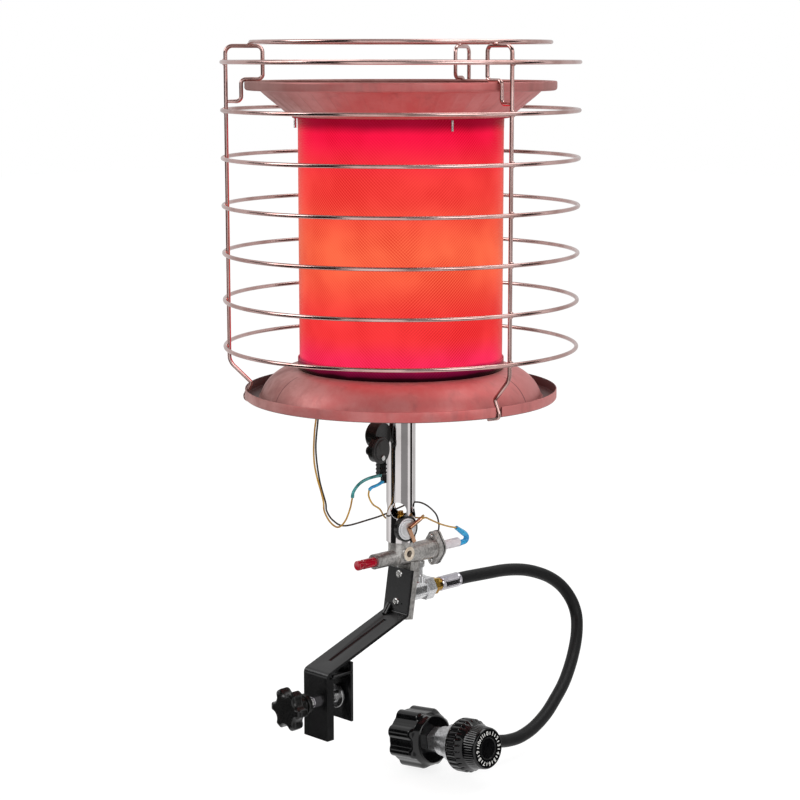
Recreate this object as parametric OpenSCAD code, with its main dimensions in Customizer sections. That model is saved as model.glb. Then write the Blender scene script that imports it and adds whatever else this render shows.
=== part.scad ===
// Tank-top propane heater: a caged radiant burner on a chromed mixing tube, a push-button
// safety valve with tip-over and overheat switches, a bracket that hooks over a tank collar,
// and a low-pressure hose with its regulator.
//
// Millimetres, +Z up. The origin is the middle of the hook's roof, where the collar's rim bears.
// The arm runs along +Y to the burner's axis, which stands at Y = pole_y.

/* [Guard cage] */
// Radius of the guard rings at the wire's middle
guard_r = 176; // [172:1:184]
// Radius of the small ring on top
top_ring_r = 147.5; // [140:0.5:158]
// Wire diameter
wire_d = 4; // [3:0.5:5]
// Number of large rings
ring_count = 7; // [5:1:7]
// Height of the uppermost large ring
ring_top_z = 602; // [596:1:606]
// Distance from one large ring to the next
ring_pitch = 46.7; // [44:0.1:47.5]
// Angle of the first upright round the burner
upright_turn = 231.4; // [200:0.2:240]

/* [Reflectors] */
// Outer radius of the top reflector's lip
dish_r = 154; // [150:0.2:155]
// Radius of the flat floor of the top reflector
dish_floor_r = 108; // [108:0.5:112]
// Underside of the top reflector's floor
dish_z = 549; // [547:0.5:551]
// Outer radius of the base reflector's lip
base_r = 157; // [155:0.5:158]
// Top of the base reflector's flat middle
base_z = 299; // [298:0.5:300]
// Radius of the base reflector's flat middle
base_flat_r = 104.6; // [104:0.2:106]
// Radius of the base reflector's domed skirt
dome_r = 38.8; // [38:0.2:39]

/* [Burner] */
// Outer radius of the glowing mesh
mesh_r = 102.6; // [100:0.2:103]
// Outer radius of the inner screen
screen_r = 97; // [92:0.5:98]
// Radius of the gas baffle
baffle_r = 62; // [50:1:70]

/* [Mixing tube] */
// Distance of the burner's axis behind the hook
pole_y = 102; // [98:1:110]
// Outer diameter of the mixing tube
tube_d = 30; // [28:0.5:32]
// Lower end of the mixing tube
tube_z = 119; // [118:0.5:121]
// Diameter of the air holes
air_hole_d = 17; // [12:0.5:19]
// Height of the air holes
air_hole_z = 153; // [150:0.5:158]

/* [Valve] */
// Height of the valve's axis
valve_z = 103; // [102:0.5:104]
// Diameter of the start button
button_d = 10; // [8:0.1:10.2]
// Front end of the start button at rest
button_y = 39.5; // [32:0.5:44]
// Height of the gas inlet's axis
inlet_z = 62.5; // [62:0.5:64]

/* [Bracket and clamp] */
// Width of the bracket strip
strip_w = 34; // [32:1:40]
// Thickness of the bracket strip
strip_t = 3; // [2.5:0.1:3.5]
// Clear width of the hook's slot
slot_w = 30; // [28:1:32]
// Slope of the arm
arm_slope = 19.5; // [18:0.5:21]
// Lean of the valve plate away from upright
plate_lean = 9.4; // [8:0.2:11]
// Length of the front leg below the roof
leg_drop = 63; // [55:1:70]
// Depth of the clamp screw below the roof
screw_drop = 25; // [22:1:30]
// Diameter of the clamp screw
screw_d = 6; // [5:0.5:6]
// Clear gap between the clamp pad and the inner leg
pad_gap = 4.4; // [4.2:0.1:6]

/* [Regulator and hose] */
// Tilt of the regulator's axis
reg_tilt = 6.5; // [4:0.5:9]
// Diameter across the coupling nut's lobes
nut_d = 62; // [58:1:66]
// Diameter of the pressure knob at its rear
knob_d = 54; // [50:1:56]
// Outer diameter of the hose
hose_d = 13.3; // [12:0.1:14]

/* [Hidden] */
$fn = 64;
fit = 0.1;      // gap between pieces that slide into one another when assembled
weld = 0.2;     // how far welded wires sink into one another
sheet = 1;      // thickness of the reflectors' steel
cloth = 0.4;    // thickness of a solid sheet as heavy as the woven cloth
ring_zs = [for (i = [0:ring_count - 1]) ring_top_z - i * ring_pitch];
upright_turns = [upright_turn, upright_turn + 120, upright_turn + 238.8];
leg_y = -slot_w / 2 - strip_t / 2;
leg_top_z = 4.5;
flange_w = 7.5;
button_back = 76;
ear_at = 12.9;
bend_y = 94.9;
bend_z = leg_top_z + (bend_y - leg_y) * tan(arm_slope);
plate_len = 46.4;
pad_y = slot_w / 2 - pad_gap;
outlet_dip = 12;
reg_at = [42, 102, -82.5];
nut_face = 8;
knob_back = 47;
probe_at = [-30, 15.5];
stud_turns = [102.5, 222.5, 342.5];
stud_r = 105;

// The hose hangs from the elbow's ferrule, round behind the tank, to the regulator's ferrule
hose_route = [
    [0, 187.2, 62.5], [0, 198, 62.5], [0, 219, 61.5], [0, 238, 60.5], [0, 256, 59.5],
    [1, 274, 57.5], [2.5, 292, 54], [5, 309, 48.5], [8.5, 324, 41.5], [12.5, 337, 32],
    [17, 345.5, 21], [22, 350, 9], [27, 350, -3], [32.5, 345, -14], [38.5, 336.5, -26],
    [45.5, 323.5, -39], [52.5, 308.5, -51], [59.5, 291, -62.5], [66, 270.5, -73],
    [72, 248, -83.5], [77, 222, -91.5], [79.5, 198, -95], [79.8, 179, -94.2],
    [79.8, 167, -92], [79.8, 158.6, -90.2]
];
// The four leads, from the flame probe, through the two switches, to the valve's magnet
probe_lead_route = [
    [-30, 14.2, 262], [-30, 12.9, 252], [-30, 10.8, 240], [-30, 9.5, 222], [-29, 9.5, 207],
    [-28, 12.4, 192], [-27, 16.2, 179], [-25, 17.7, 168], [-22, 16, 159.5], [-18, 20, 148.5],
    [-13, 26, 143], [-8, 31, 149], [-3, 33.2, 162], [2, 31.9, 175]
];
ground_lead_route = [
    [-30, 16.8, 262], [-31, 16.5, 251], [-31, 13.3, 222], [-29, 16, 191], [-27, 22.3, 167],
    [-26, 23, 158], [-24, 29.6, 147.7], [-22, 44.2, 140], [-19, 76.4, 142], [-18.5, 97, 144],
    [-19, 117, 147.3], [-14, 134.5, 151.5], [-7, 144.2, 149], [-3, 156, 138], [-1, 159, 127],
    [0, 157.3, 118.4]
];
link_lead_route = [
    [3, 54, 179], [0.5, 56, 172], [-5, 67, 161.3], [-11, 82.8, 152.7], [-18.5, 98.5, 140],
    [-19, 113, 137], [-10, 124, 138], [4, 125, 139.5], [16, 118.5, 144], [22.2, 111.6, 147],
    [23.9, 104.6, 144.3]
];
magnet_lead_route = [
    [25.6, 105.2, 144.7], [25.6, 112, 145.2], [22, 123, 140.6], [14, 145, 131.5],
    [3, 170, 122.8], [0, 184.4, 118.6]
];
// Sleeves over the tip-over switch's two terminals
probe_sleeve_route = [
    [2, 31.9, 175], [3.5, 31.5, 180], [6, 33.5, 185.6], [8, 38, 190], [9, 45, 192.5],
    [8.8, 55, 193.4], [5.6, 67.4, 192.6]
];
link_sleeve_route = [
    [3, 54, 179], [4, 56.5, 181.5], [4.5, 61.5, 182.5], [4.5, 66, 183.4], [4.2, 72, 185.4]
];

// ---------------------------------------------------------------- shared forms

function unit(v) = v / norm(v);
function heading(a, b) = atan2(b[1] - a[1], b[0] - a[0]);
function turn_at(path, i) =
    let (d = heading(path[i], path[i + 1]) - heading(path[i - 1], path[i]))
    d > 180 ? d - 360 : (d < -180 ? d + 360 : d);

// The arc that rounds one corner of a flat path
function corner_arc(path, r, i, steps) =
    let (
        turn = turn_at(path, i),
        way = heading(path[i - 1], path[i]),
        foot = path[i] - r * tan(abs(turn) / 2) * [cos(way), sin(way)],
        side = sign(turn),
        centre = foot + r * side * [-sin(way), cos(way)]
    )
    [
        for (k = [0:steps])
            let (a = way - 90 * side + turn * k / steps)
            centre + r * [cos(a), sin(a)]
    ];

// A flat path with each inner corner rounded to its radius
function rounded(path, radii, steps) = [
    for (i = [0:len(path) - 1])
        each (i == 0 || i == len(path) - 1) ? [path[i]] : corner_arc(path, radii[i], i, steps)
];

// A sheet strip bent along a flat path: the path is its middle line, in the XY plane
module bent_strip(path, radii, t, w) {
    line = rounded(path, radii, 6);
    across = [
        for (i = [0:len(line) - 1])
            let (way = unit(line[min(i + 1, len(line) - 1)] - line[max(i - 1, 0)]))
            t / 2 * [-way[1], way[0]]
    ];
    linear_extrude(w, center = true)
        polygon(concat(
            line + across,
            [for (i = [len(line) - 1:-1:0]) line[i] - across[i]]
        ));
}

// A round wire bent along a flat path in the XY plane
module bent_wire(path, radii, d, sides, steps = 3) {
    cord([for (p = rounded(path, radii, steps)) [p[0], p[1], 0]], d, sides, [0, 0, 1]);
}

// Tangent of a route at one of its points
function tangent(route, i) =
    unit(route[min(i + 1, len(route) - 1)] - route[max(i - 1, 0)]);

// Side vectors carried along a route without twist
function carried(route, start) = [
    for (i = 0, side = unit(start - (start * tangent(route, 0)) * tangent(route, 0));
         i < len(route);
         i = i + 1,
         side = i < len(route)
            ? unit(side - (side * tangent(route, i)) * tangent(route, i)) : side)
    side
];

// A round cord of the given diameter, with one ring of points at each point of its route
module cord(route, d, sides, start = [1, 0, 0]) {
    across = carried(route, start);
    rings = [
        for (i = [0:len(route) - 1])
            for (k = [0:sides - 1])
                route[i] + d / 2 * (cos(360 * k / sides) * across[i]
                    + sin(360 * k / sides) * cross(tangent(route, i), across[i]))
    ];
    last = (len(route) - 1) * sides;
    faces = concat(
        [[for (k = [0:sides - 1]) k]],
        [
            for (i = [0:len(route) - 2])
                for (k = [0:sides - 1])
                    [i * sides + k, (i + 1) * sides + k,
                     (i + 1) * sides + (k + 1) % sides, i * sides + (k + 1) % sides]
        ],
        [[for (k = [sides - 1:-1:0]) last + k]]
    );
    polyhedron(points = rings, faces = faces, convexity = 6);
}

// A revolved sheet: a line of [radius, height] points, with the sheet's thickness above it
module revolved_sheet(line, t) {
    top = [for (i = [len(line) - 1:-1:0]) line[i] + [0, t]];
    rotate_extrude()
        polygon(concat(line, top));
}

function arc(centre, r, from, to, steps) = [
    for (i = [0:steps])
        let (a = from + (to - from) * i / steps)
        centre + r * [cos(a), sin(a)]
];

module tube(d, bore, h) {
    difference() {
        cylinder(d = d, h = h);
        translate([0, 0, -1])
            cylinder(d = bore, h = h + 2);
    }
}

// Local frames: the burner's axis, the valve's axis, the leaning plate, the regulator's axis
module at_pole(z = 0) {
    translate([0, pole_y, z])
        children();
}

module along_valve(y, z = valve_z) {
    translate([0, y, z])
        rotate([-90, 0, 0])
            children();
}

module on_plate() {
    translate([0, bend_y, bend_z])
        rotate([-plate_lean, 0, 0])
            children();
}

module on_regulator(t = 0) {
    translate(reg_at)
        rotate([0, 90 - reg_tilt, 0])
            translate([0, 0, t])
                children();
}

// The regulator's outlet leaves sideways and a little down; z runs along it
module on_outlet(d = 0) {
    translate(reg_at + 38 * [cos(reg_tilt), 0, sin(reg_tilt)])
        rotate([-90 - outlet_dip, 0, 0])
            translate([0, 0, d])
                children();
}

module on_heat_switch() {
    translate([19.5, 91.7, 135.7])
        rotate([90, 0, 82])
            children();
}

module on_tip_switch(x, y, z) {
    translate([x, y, z])
        rotate([0, 90, 9])
            children();
}

// ---------------------------------------------------------------- guard cage

module wire_ring(r, z) {
    color("silver")
        at_pole(z)
            rotate_extrude($fn = 128)
                translate([r, 0])
                    circle(d = wire_d, $fn = 32);
}

module guard_top_ring() {
    wire_ring(top_ring_r, 617.5 + wire_d - weld);
}

module guard_ring(i) {
    wire_ring(guard_r, ring_zs[i]);
}

// One wire from its weld under the top reflector's rim, over the rim, up and over the top,
// down the side of the cage and in under the base reflector's lip
module guard_upright(i) {
    side = guard_r - wire_d + weld;
    path = [
        [side - 1.9, 564], [dish_r + 2.4, 564], [dish_r + 2.4, 585.4], [136, 585.4],
        [136, 617.5], [side, 617.5], [side, 307], [150.5, 285.2], [159, 269], [141, 264.5]
    ];
    radii = [0, 5, 4.5, 5, 6, 7, 15, 3, 4, 0];
    color("silver")
        at_pole()
            rotate([0, 0, upright_turns[i]])
                rotate([90, 0, 0])
                    bent_wire(path, radii, wire_d, 10);
}

// ---------------------------------------------------------------- reflectors and burner

module top_reflector() {
    line = [[0, dish_z], [dish_floor_r, dish_z], [139.5, 574.6], [dish_r, 574.6]];
    color("rosybrown")
        at_pole()
            difference() {
                union() {
                    revolved_sheet(line, sheet);
                    translate([0, 0, 574.6])
                        tube(2 * dish_r, 2 * dish_r - 2 * sheet, 8.7);
                }
                for (a = stud_turns)
                    rotate([0, 0, a])
                        translate([stud_r, 0, dish_z - 1])
                            cylinder(d = 3.2, h = 4);
            }
}

module top_studs() {
    color("silver")
        at_pole()
            for (a = stud_turns)
                rotate([0, 0, a])
                    translate([stud_r, 0, 0]) {
                        translate([0, 0, dish_z - 11.5])
                            cylinder(d = 3, h = 12.6);
                        translate([0, 0, dish_z + sheet])
                            cylinder(d = 5.6, h = 2);
                    }
}

module burner_cap() {
    color("dimgray")
        at_pole()
            difference() {
                union() {
                    translate([0, 0, dish_z - sheet])
                        cylinder(r = 107.5, h = sheet);
                    translate([0, 0, dish_z - 11])
                        tube(2 * (mesh_r - cloth - fit), 2 * (mesh_r - cloth - fit - 0.8), 10.5);
                }
                for (a = stud_turns)
                    rotate([0, 0, a])
                        translate([stud_r, 0, dish_z - 2])
                            cylinder(d = 3.2, h = 4);
            }
}

module burner_mesh() {
    color("orangered")
        at_pole(base_z + sheet)
            tube(2 * mesh_r, 2 * (mesh_r - cloth), dish_z - base_z - 2 * sheet);
}

module inner_screen() {
    color("firebrick")
        at_pole(base_z + sheet)
            tube(2 * screen_r, 2 * (screen_r - cloth), dish_z - base_z - 2 * sheet);
}

module gas_baffle() {
    leg_r = baffle_r - 12;
    color("dimgray")
        at_pole() {
            revolved_sheet([[0, base_z + 33], [18, base_z + 33], [baffle_r, base_z + 21]], 1.2);
            for (a = [30, 150, 270])
                rotate([0, 0, a])
                    translate([leg_r, 0, base_z + sheet])
                        cylinder(d = 4, h = 24);
        }
}

module burner_floor() {
    color("dimgray")
        at_pole(base_z)
            difference() {
                union() {
                    cylinder(r = mesh_r + 1, h = sheet);
                    tube(2 * mesh_r + 2, 2 * mesh_r + 0.2, 10.5);
                }
                translate([0, 0, -1])
                    cylinder(d = tube_d + 2 * fit, h = 4);
                flange_holes(4.2);
                probe_hole(5.2);
            }
}

module flange_holes(d) {
    for (a = [45:90:315])
        rotate([0, 0, a])
            translate([23, 0, -5])
                cylinder(d = d, h = 10);
}

module probe_hole(d) {
    translate([probe_at[0], probe_at[1] - pole_y, -5])
        cylinder(d = d, h = 10);
}

// Flat middle that bends over into a domed skirt, a trough and an upright lip with three notches
module base_reflector() {
    t = 1.2;
    trough_z = 268.4;
    centre = [base_flat_r, base_z - dome_r];
    under = concat(
        [[tube_d / 2 + fit, base_z - t]],
        arc(centre, dome_r - t, 90, 17, 9),
        [[141.6, trough_z + 0.9], [143.2, trough_z], [base_r - 0.6, trough_z]]
    );
    over = concat(
        [[base_r - 0.6, trough_z + t], [143.9, trough_z + t], [142.7, trough_z + t + 0.6]],
        arc(centre, dome_r, 17, 90, 9),
        [[tube_d / 2 + fit, base_z]]
    );
    color("palevioletred")
        at_pole()
            difference() {
                union() {
                    rotate_extrude()
                        polygon(concat(under, over));
                    translate([0, 0, trough_z])
                        tube(2 * base_r, 2 * base_r - 2 * t, 10.6);
                }
                for (a = upright_turns)
                    rotate([0, 0, a])
                        translate([151.5, -3.5, 260])
                            cube([10, 7, 30]);
                translate([0, 0, base_z]) {
                    flange_holes(4.2);
                    probe_hole(5.2);
                }
            }
}

module flame_probe() {
    color("silver")
        translate([probe_at[0], probe_at[1], 0]) {
            translate([0, 0, 262])
                cylinder(d = 5, h = 76);
            translate([0, 0, 338])
                sphere(d = 5);
            translate([0, 0, base_z - 6.2])
                cylinder(d = 9, h = 5, $fn = 6);
        }
}

// ---------------------------------------------------------------- mixing tube

module mixing_tube() {
    top = base_z + 4;
    color("gainsboro")
        at_pole() {
            difference() {
                translate([0, 0, tube_z])
                    tube(tube_d, tube_d - 3, top - tube_z);
                for (a = [33, 123])
                    rotate([0, 0, a])
                        translate([-tube_d, 0, air_hole_z])
                            rotate([0, 90, 0])
                                cylinder(d = air_hole_d, h = 2 * tube_d);
            }
            translate([0, 0, base_z - 1.2 - 2])
                difference() {
                    tube(60, tube_d - 1, 2);
                    flange_holes(4.2);
                }
        }
}

module flange_screws() {
    head_z = base_z - 5.4;
    color("silver")
        at_pole(head_z)
            for (a = [45:90:315])
                rotate([0, 0, a])
                    translate([23, 0, 0]) {
                        cylinder(d = 7, h = 2.2);
                        cylinder(d = 4, h = 10);
                    }
}

module gas_jet() {
    color("goldenrod")
        at_pole(tube_z)
            difference() {
                union() {
                    cylinder(d = 13.8, h = 7, $fn = 6);
                    cylinder(d = 9, h = 22);
                    translate([0, 0, 22])
                        cylinder(d1 = 9, d2 = 5, h = 5);
                    translate([0, 0, 27])
                        cylinder(d = 5, h = 4);
                }
                translate([0, 0, -1])
                    cylinder(d = 1.2, h = 40);
            }
}

// ---------------------------------------------------------------- switches and leads

module tip_switch_housing() {
    color("black") {
        on_tip_switch(-8.6, 71, 232)
            cylinder(d = 26, h = 13);
        on_tip_switch(-8.6, 71, 232)
            translate([0, 0, -3])
                cylinder(d1 = 19, d2 = 26, h = 3);
        on_tip_switch(2, 63.5, 219)
            cylinder(d = 25, h = 6);
        on_tip_switch(-6.6, 62.5, 217)
            cylinder(d = 9, h = 10);
        translate([1, 66, 191])
            cube([5.2, 9, 21]);
        translate([2.5, 70.6, 183.5])
            cube([3, 5.8, 9]);
        for (z = [194:4:202])
            translate([0.6, 65.6, z])
                cube([6.3, 9.8, 1.6]);
    }
}

module tip_switch_cover() {
    color("dimgray")
        on_tip_switch(8, 64.4, 219)
            difference() {
                union() {
                    cylinder(d = 27, h = 2.5);
                    translate([0, 0, 2.5])
                        cylinder(d = 21, h = 0.8);
                }
                translate([7.5, 0, -1])
                    cylinder(d = 3, h = 6);
            }
}

module tip_switch_screw() {
    color("silver")
        on_tip_switch(8, 64.4, 219)
            translate([7.5, 0, 0]) {
                cylinder(d = 2.8, h = 3.5);
                translate([0, 0, 3.3])
                    cylinder(d = 5.4, h = 1.6);
            }
}

module tip_switch_strap() {
    color("gray")
        difference() {
            translate([-11.3, 79.5, 226])
                cube([2, 13.1, 12]);
            translate([-16, 87, 232])
                rotate([0, 90, 0])
                    cylinder(d = 4, h = 8);
        }
}

module terminal_sleeves() {
    color("darkcyan")
        cord(probe_sleeve_route, 3.6, 8);
    color("deepskyblue")
        cord(link_sleeve_route, 3.6, 8);
}

module heat_switch_clip() {
    color("black")
        on_heat_switch()
            difference() {
                union() {
                    translate([0, 0, -4.9])
                        cylinder(d = 26.5, h = 4.9);
                    translate([-1, -6, -9.5])
                        cube([13, 12, 5.2]);
                }
                translate([0, 0, -3.9])
                    cylinder(d = 22.6, h = 5);
                translate([7.49, 20, -20.74])
                    rotate([90, 0, 0])
                        cylinder(d = tube_d + 0.1, h = 40);
            }
}

module heat_switch() {
    color("gainsboro")
        on_heat_switch() {
            translate([0, 0, -3.8])
                cylinder(d = 22.4, h = 4.2);
            translate([0, 0, 0.4])
                cylinder(d = 18, h = 0.8);
        }
}

// Blade over the switch's face and the crimped barrel that takes the two leads
module heat_switch_terminal() {
    color("goldenrod")
        on_heat_switch() {
            translate([2.5, -2.5, 1.3])
                rotate([0, 0, 25])
                    translate([-2.1, -13, 0])
                        cube([4.2, 17.5, 1]);
            translate([1, 1.6, 3.3])
                rotate([0, 0, -61])
                    rotate([-90, 0, 0])
                        cylinder(d = 4, h = 16);
        }
}

module probe_lead() {
    color("darkgoldenrod")
        cord(probe_lead_route, 1.8, 8);
}

module ground_lead() {
    color("black")
        cord(ground_lead_route, 1.8, 8);
}

module link_lead() {
    color("darkgoldenrod")
        cord(link_lead_route, 1.8, 8, [0, 0, 1]);
}

module magnet_lead() {
    color("darkgoldenrod")
        cord(magnet_lead_route, 1.8, 8);
}

// A sleeve bent back on itself over the magnet's terminal
module magnet_sleeve() {
    color("deepskyblue")
        rotate([90, 0, 90])
            bent_wire([[187, 101], [208.5, 102.5], [184.4, 118.6]], [0, 4.2, 0], 6.5, 12, 7);
}

// ---------------------------------------------------------------- valve

module valve_flange_form(h) {
    linear_extrude(h)
        union() {
            circle(d = 24);
            for (s = [-1, 1]) {
                translate([0, ear_at * s])
                    circle(d = 9.8);
                polygon([[-9.5, 7.3 * s], [-4.5, 14.9 * s], [4.5, 14.9 * s], [9.5, 7.3 * s]]);
            }
        }
}

module valve_body() {
    color("darkgray")
        difference() {
            union() {
                at_pole(valve_z)
                    cylinder(d = 26, h = tube_z - valve_z);
                along_valve(63)
                    cylinder(d = 15.5, h = 36.5);
                along_valve(93)
                    cylinder(d = 20.6, h = 55);
                along_valve(147)
                    valve_flange_form(10);
                translate([0, 101.5, 107])
                    rotate([0, 90, 0])
                        cylinder(d = 16, h = 13);
                on_plate() {
                    translate([-13, strip_t / 2, -5])
                        cube([26, 11, 50]);
                    translate([-9, strip_t / 2 + 3, 33])
                        cube([18, 13, 21]);
                }
            }
            along_valve(58)
                cylinder(d = button_d + 0.5, h = 35);
            translate([5, 101.5, 107])
                rotate([0, 90, 0])
                    cylinder(d = 7, h = 10);
            for (s = [-1, 1])
                along_valve(146)
                    translate([0, ear_at * s, 0])
                        cylinder(d = 3.2, h = 12);
            translate([0, 129, 90])
                cylinder(d = 7.2, h = 4.6);
            on_plate()
                for (z = [11.5, 40.5])
                    translate([0, 0, z])
                        rotate([-90, 0, 0])
                            cylinder(d = 4, h = 11);
        }
}

module valve_button() {
    color("crimson")
        difference() {
            along_valve(button_y)
                cylinder(d = button_d, h = button_back - button_y);
            along_valve(button_y + 5)
                difference() {
                    cylinder(d = button_d + 2, h = 3);
                    translate([0, 0, -1])
                        cylinder(d = button_d - 2.6, h = 5);
                }
        }
}

module valve_stem() {
    color("silver")
        along_valve(button_back)
            cylinder(d = 4, h = 9);
}

module return_spring() {
    turns = 4;
    steps = 14;
    front = button_back + 0.6;
    pitch = 3.9;
    coil = [
        for (i = [0:turns * steps])
            let (a = 360 * i / steps)
            [3.6 * cos(a), front + pitch * i / steps, valve_z + 3.6 * sin(a)]
    ];
    color("silver")
        cord(coil, 0.8, 6);
}

module magnet_cap() {
    color("ghostwhite")
        along_valve(157)
            union() {
                cylinder(d = 13, h = 3);
                cylinder(d = 10, h = 30);
            }
}

module valve_screws() {
    color("silver")
        for (s = [-1, 1])
            along_valve(144.4)
                translate([0, ear_at * s, 0]) {
                    cylinder(d = 5, h = 2.5);
                    cylinder(d = 3, h = 9);
                }
}

// ---------------------------------------------------------------- gas inlet and hose

module inlet_pipe() {
    color("silver")
        translate([0, 129, 0]) {
            translate([0, 0, 71])
                cylinder(d = 7, h = 23.5);
            translate([0, 0, 86.5])
                cylinder(d = 11.5, h = 6, $fn = 6);
        }
}

module inlet_elbow() {
    color("lightgray")
        difference() {
            union() {
                along_valve(112.4, inlet_z)
                    cylinder(d = 20, h = 21);
                along_valve(132.5, inlet_z)
                    cylinder(d = 25.4, h = 11, $fn = 6);
                translate([0, 129, inlet_z])
                    cylinder(d = 13, h = 14.5);
            }
            translate([0, 129, 70.9])
                cylinder(d = 7 + 2 * fit, h = 10);
        }
}

module hose_nut() {
    color("goldenrod")
        along_valve(143.5, inlet_z) {
            cylinder(d = 18.6, h = 9, $fn = 6);
            translate([0, 0, 9])
                cylinder(d = 14, h = 5.4);
        }
}

// A collar crimped to eight flats between its round ends
module ferrule() {
    tube_flats = 14.4;
    intersection() {
        cylinder(d = 15.6, h = 29.2);
        union() {
            cylinder(d = tube_flats / cos(22.5), h = 29.2, $fn = 8);
            cylinder(d = 16, h = 3);
            translate([0, 0, 26.2])
                cylinder(d = 16, h = 3);
        }
    }
}

module hose_ferrules() {
    color("silver") {
        along_valve(158, inlet_z)
            ferrule();
        on_outlet(28.6)
            ferrule();
    }
}

module hose() {
    color("black")
        cord(hose_route, hose_d, 12);
}

// ---------------------------------------------------------------- regulator

module regulator_body() {
    color("lightgray")
        difference() {
            union() {
                on_regulator(nut_face + 0.3)
                    cylinder(d = 27.7, h = 12, $fn = 6);
                on_regulator(20)
                    cylinder(d = 30, h = 13);
                on_regulator(33)
                    cylinder(d = 38, h = knob_back - 36);
                on_regulator(knob_back - 3)
                    cylinder(d = 20, h = 10);
                on_outlet(0)
                    cylinder(d = 17, h = 24);
                on_outlet(24)
                    cylinder(d = 15.6, h = 4.6, $fn = 6);
            }
            on_regulator(nut_face - 1)
                cylinder(d = 15, h = 9);
        }
}

// The knob turns on the body's spigot; its rim is fluted and its face carries a dial ring
module regulator_knob() {
    color("black")
        difference() {
            union() {
                on_regulator(knob_back)
                    cylinder(d = knob_d, h = 14);
                on_regulator(knob_back + 14)
                    cylinder(d1 = knob_d, d2 = 44, h = 6);
                on_regulator(knob_back + 20)
                    cylinder(d1 = 44, d2 = 41, h = 15);
            }
            on_regulator(knob_back - 1)
                cylinder(d = 21, h = 9);
            on_regulator(knob_back + 34)
                cylinder(d = 21, h = 3);
            for (a = [0:15:345])
                on_regulator(knob_back - 1)
                    rotate([0, 0, a])
                        translate([knob_d / 2 + 1.2, 0, 0])
                            cylinder(d = 4.4, h = 16, $fn = 24);
        }
}

module regulator_nipple() {
    color("goldenrod")
        difference() {
            union() {
                on_regulator(-28)
                    cylinder(d = 15.8, h = 18);
                on_regulator(-10)
                    cylinder(d = 24, h = 3.6);
                on_regulator(-7)
                    cylinder(d = 14.8, h = nut_face + 14.5);
            }
            on_regulator(-29)
                cylinder(d = 6, h = 50);
        }
}

module coupling_nut() {
    lobes = 8;
    color("black")
        difference() {
            union() {
                on_regulator(-32)
                    linear_extrude(nut_face + 26)
                        union() {
                            circle(r = nut_d / 2 - 3.4);
                            for (i = [0:lobes - 1])
                                rotate(360 * (i + 0.5) / lobes)
                                    translate([nut_d / 2 - 7, 0])
                                        circle(r = 7);
                        }
                on_regulator(nut_face - 6)
                    cylinder(r1 = nut_d / 2 - 3.4, r2 = nut_d / 2 - 7, h = 6);
            }
            on_regulator(-33)
                cylinder(r = 16.6, h = 27);
            on_regulator(-7)
                cylinder(r = 8.2, h = nut_face + 8);
        }
}

// ---------------------------------------------------------------- bracket and clamp

module bracket() {
    path = [
        [bend_y + plate_len * sin(plate_lean), bend_z + plate_len * cos(plate_lean)],
        [bend_y, bend_z], [leg_y, leg_top_z], [leg_y, -leg_drop]
    ];
    rib = norm(path[2] - path[1]);
    dart = 7;
    color("black")
        difference() {
            union() {
                rotate([90, 0, 90])
                    bent_strip(path, [0, 3.6, 4, 0], strip_t, strip_w);
                for (s = [-1, 1])
                    translate([s * (strip_w - strip_t) / 2 - strip_t / 2, leg_y, -leg_drop])
                        cube([strip_t, flange_w, leg_drop]);
                translate([0, leg_y, leg_top_z])
                    rotate([-90 + arm_slope, 0, 0])
                        translate([0, 1, 20])
                            cylinder(d = 5, h = rib - 36);
                translate([-9.5, bend_y - dart * cos(arm_slope) - 1, bend_z - dart * sin(arm_slope) + 0.8])
                    rotate([-(90 - arm_slope + plate_lean) / 2, 0, 0])
                        cylinder(d = 5.5, h = 1.72 * dart);
            }
            translate([0, leg_y, leg_top_z])
                rotate([-90 + arm_slope, 0, 0])
                    translate([0, -strip_t / 2 - 1.4, 20])
                        cylinder(d = 5.4, h = rib - 36);
            translate([0, leg_y - strip_t, -screw_drop])
                rotate([-90, 0, 0])
                    cylinder(d = screw_d + 0.8, h = 2 * strip_t);
            on_plate()
                for (z = [11.5, 40.5])
                    translate([0, -3, z])
                        rotate([-90, 0, 0])
                            cylinder(d = 4.2, h = 6);
            on_plate()
                translate([8, -3, 10.5])
                    rotate([-90, 0, 0])
                        cylinder(d = 2, h = 6);
        }
}

// The roof that bears on the collar's rim, narrower between the front leg's flanges, and the
// leg that reaches down inside the collar
module hook_inner_leg() {
    front = -slot_w / 2 + fit;
    wide_from = leg_y + flange_w + fit;
    narrow_w = strip_w - 2 * strip_t - 2 * fit;
    color("black")
        union() {
            translate([-narrow_w / 2, front, 0])
                cube([narrow_w, slot_w / 2 - front, strip_t]);
            translate([-strip_w / 2, wide_from, 0])
                cube([strip_w, slot_w / 2 + strip_t - wide_from, strip_t]);
            translate([-strip_w / 2, slot_w / 2, -50])
                cube([strip_w, strip_t, 50 + 11.9]);
        }
}

module bracket_screws() {
    color("silver")
        on_plate()
            for (z = [11.5, 40.5])
                translate([0, -strip_t / 2 - 2.2, z])
                    rotate([-90, 0, 0]) {
                        cylinder(d1 = 5, d2 = 8, h = 2.2);
                        cylinder(d = 3.8, h = 12);
                    }
}

module clamp_nut() {
    color("silver")
        translate([0, leg_y - strip_t / 2, -screw_drop])
            rotate([90, 0, 0])
                difference() {
                    cylinder(d = 11.5, h = 5, $fn = 6);
                    translate([0, 0, -1])
                        cylinder(d = screw_d + 0.6, h = 7);
                }
}

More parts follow.
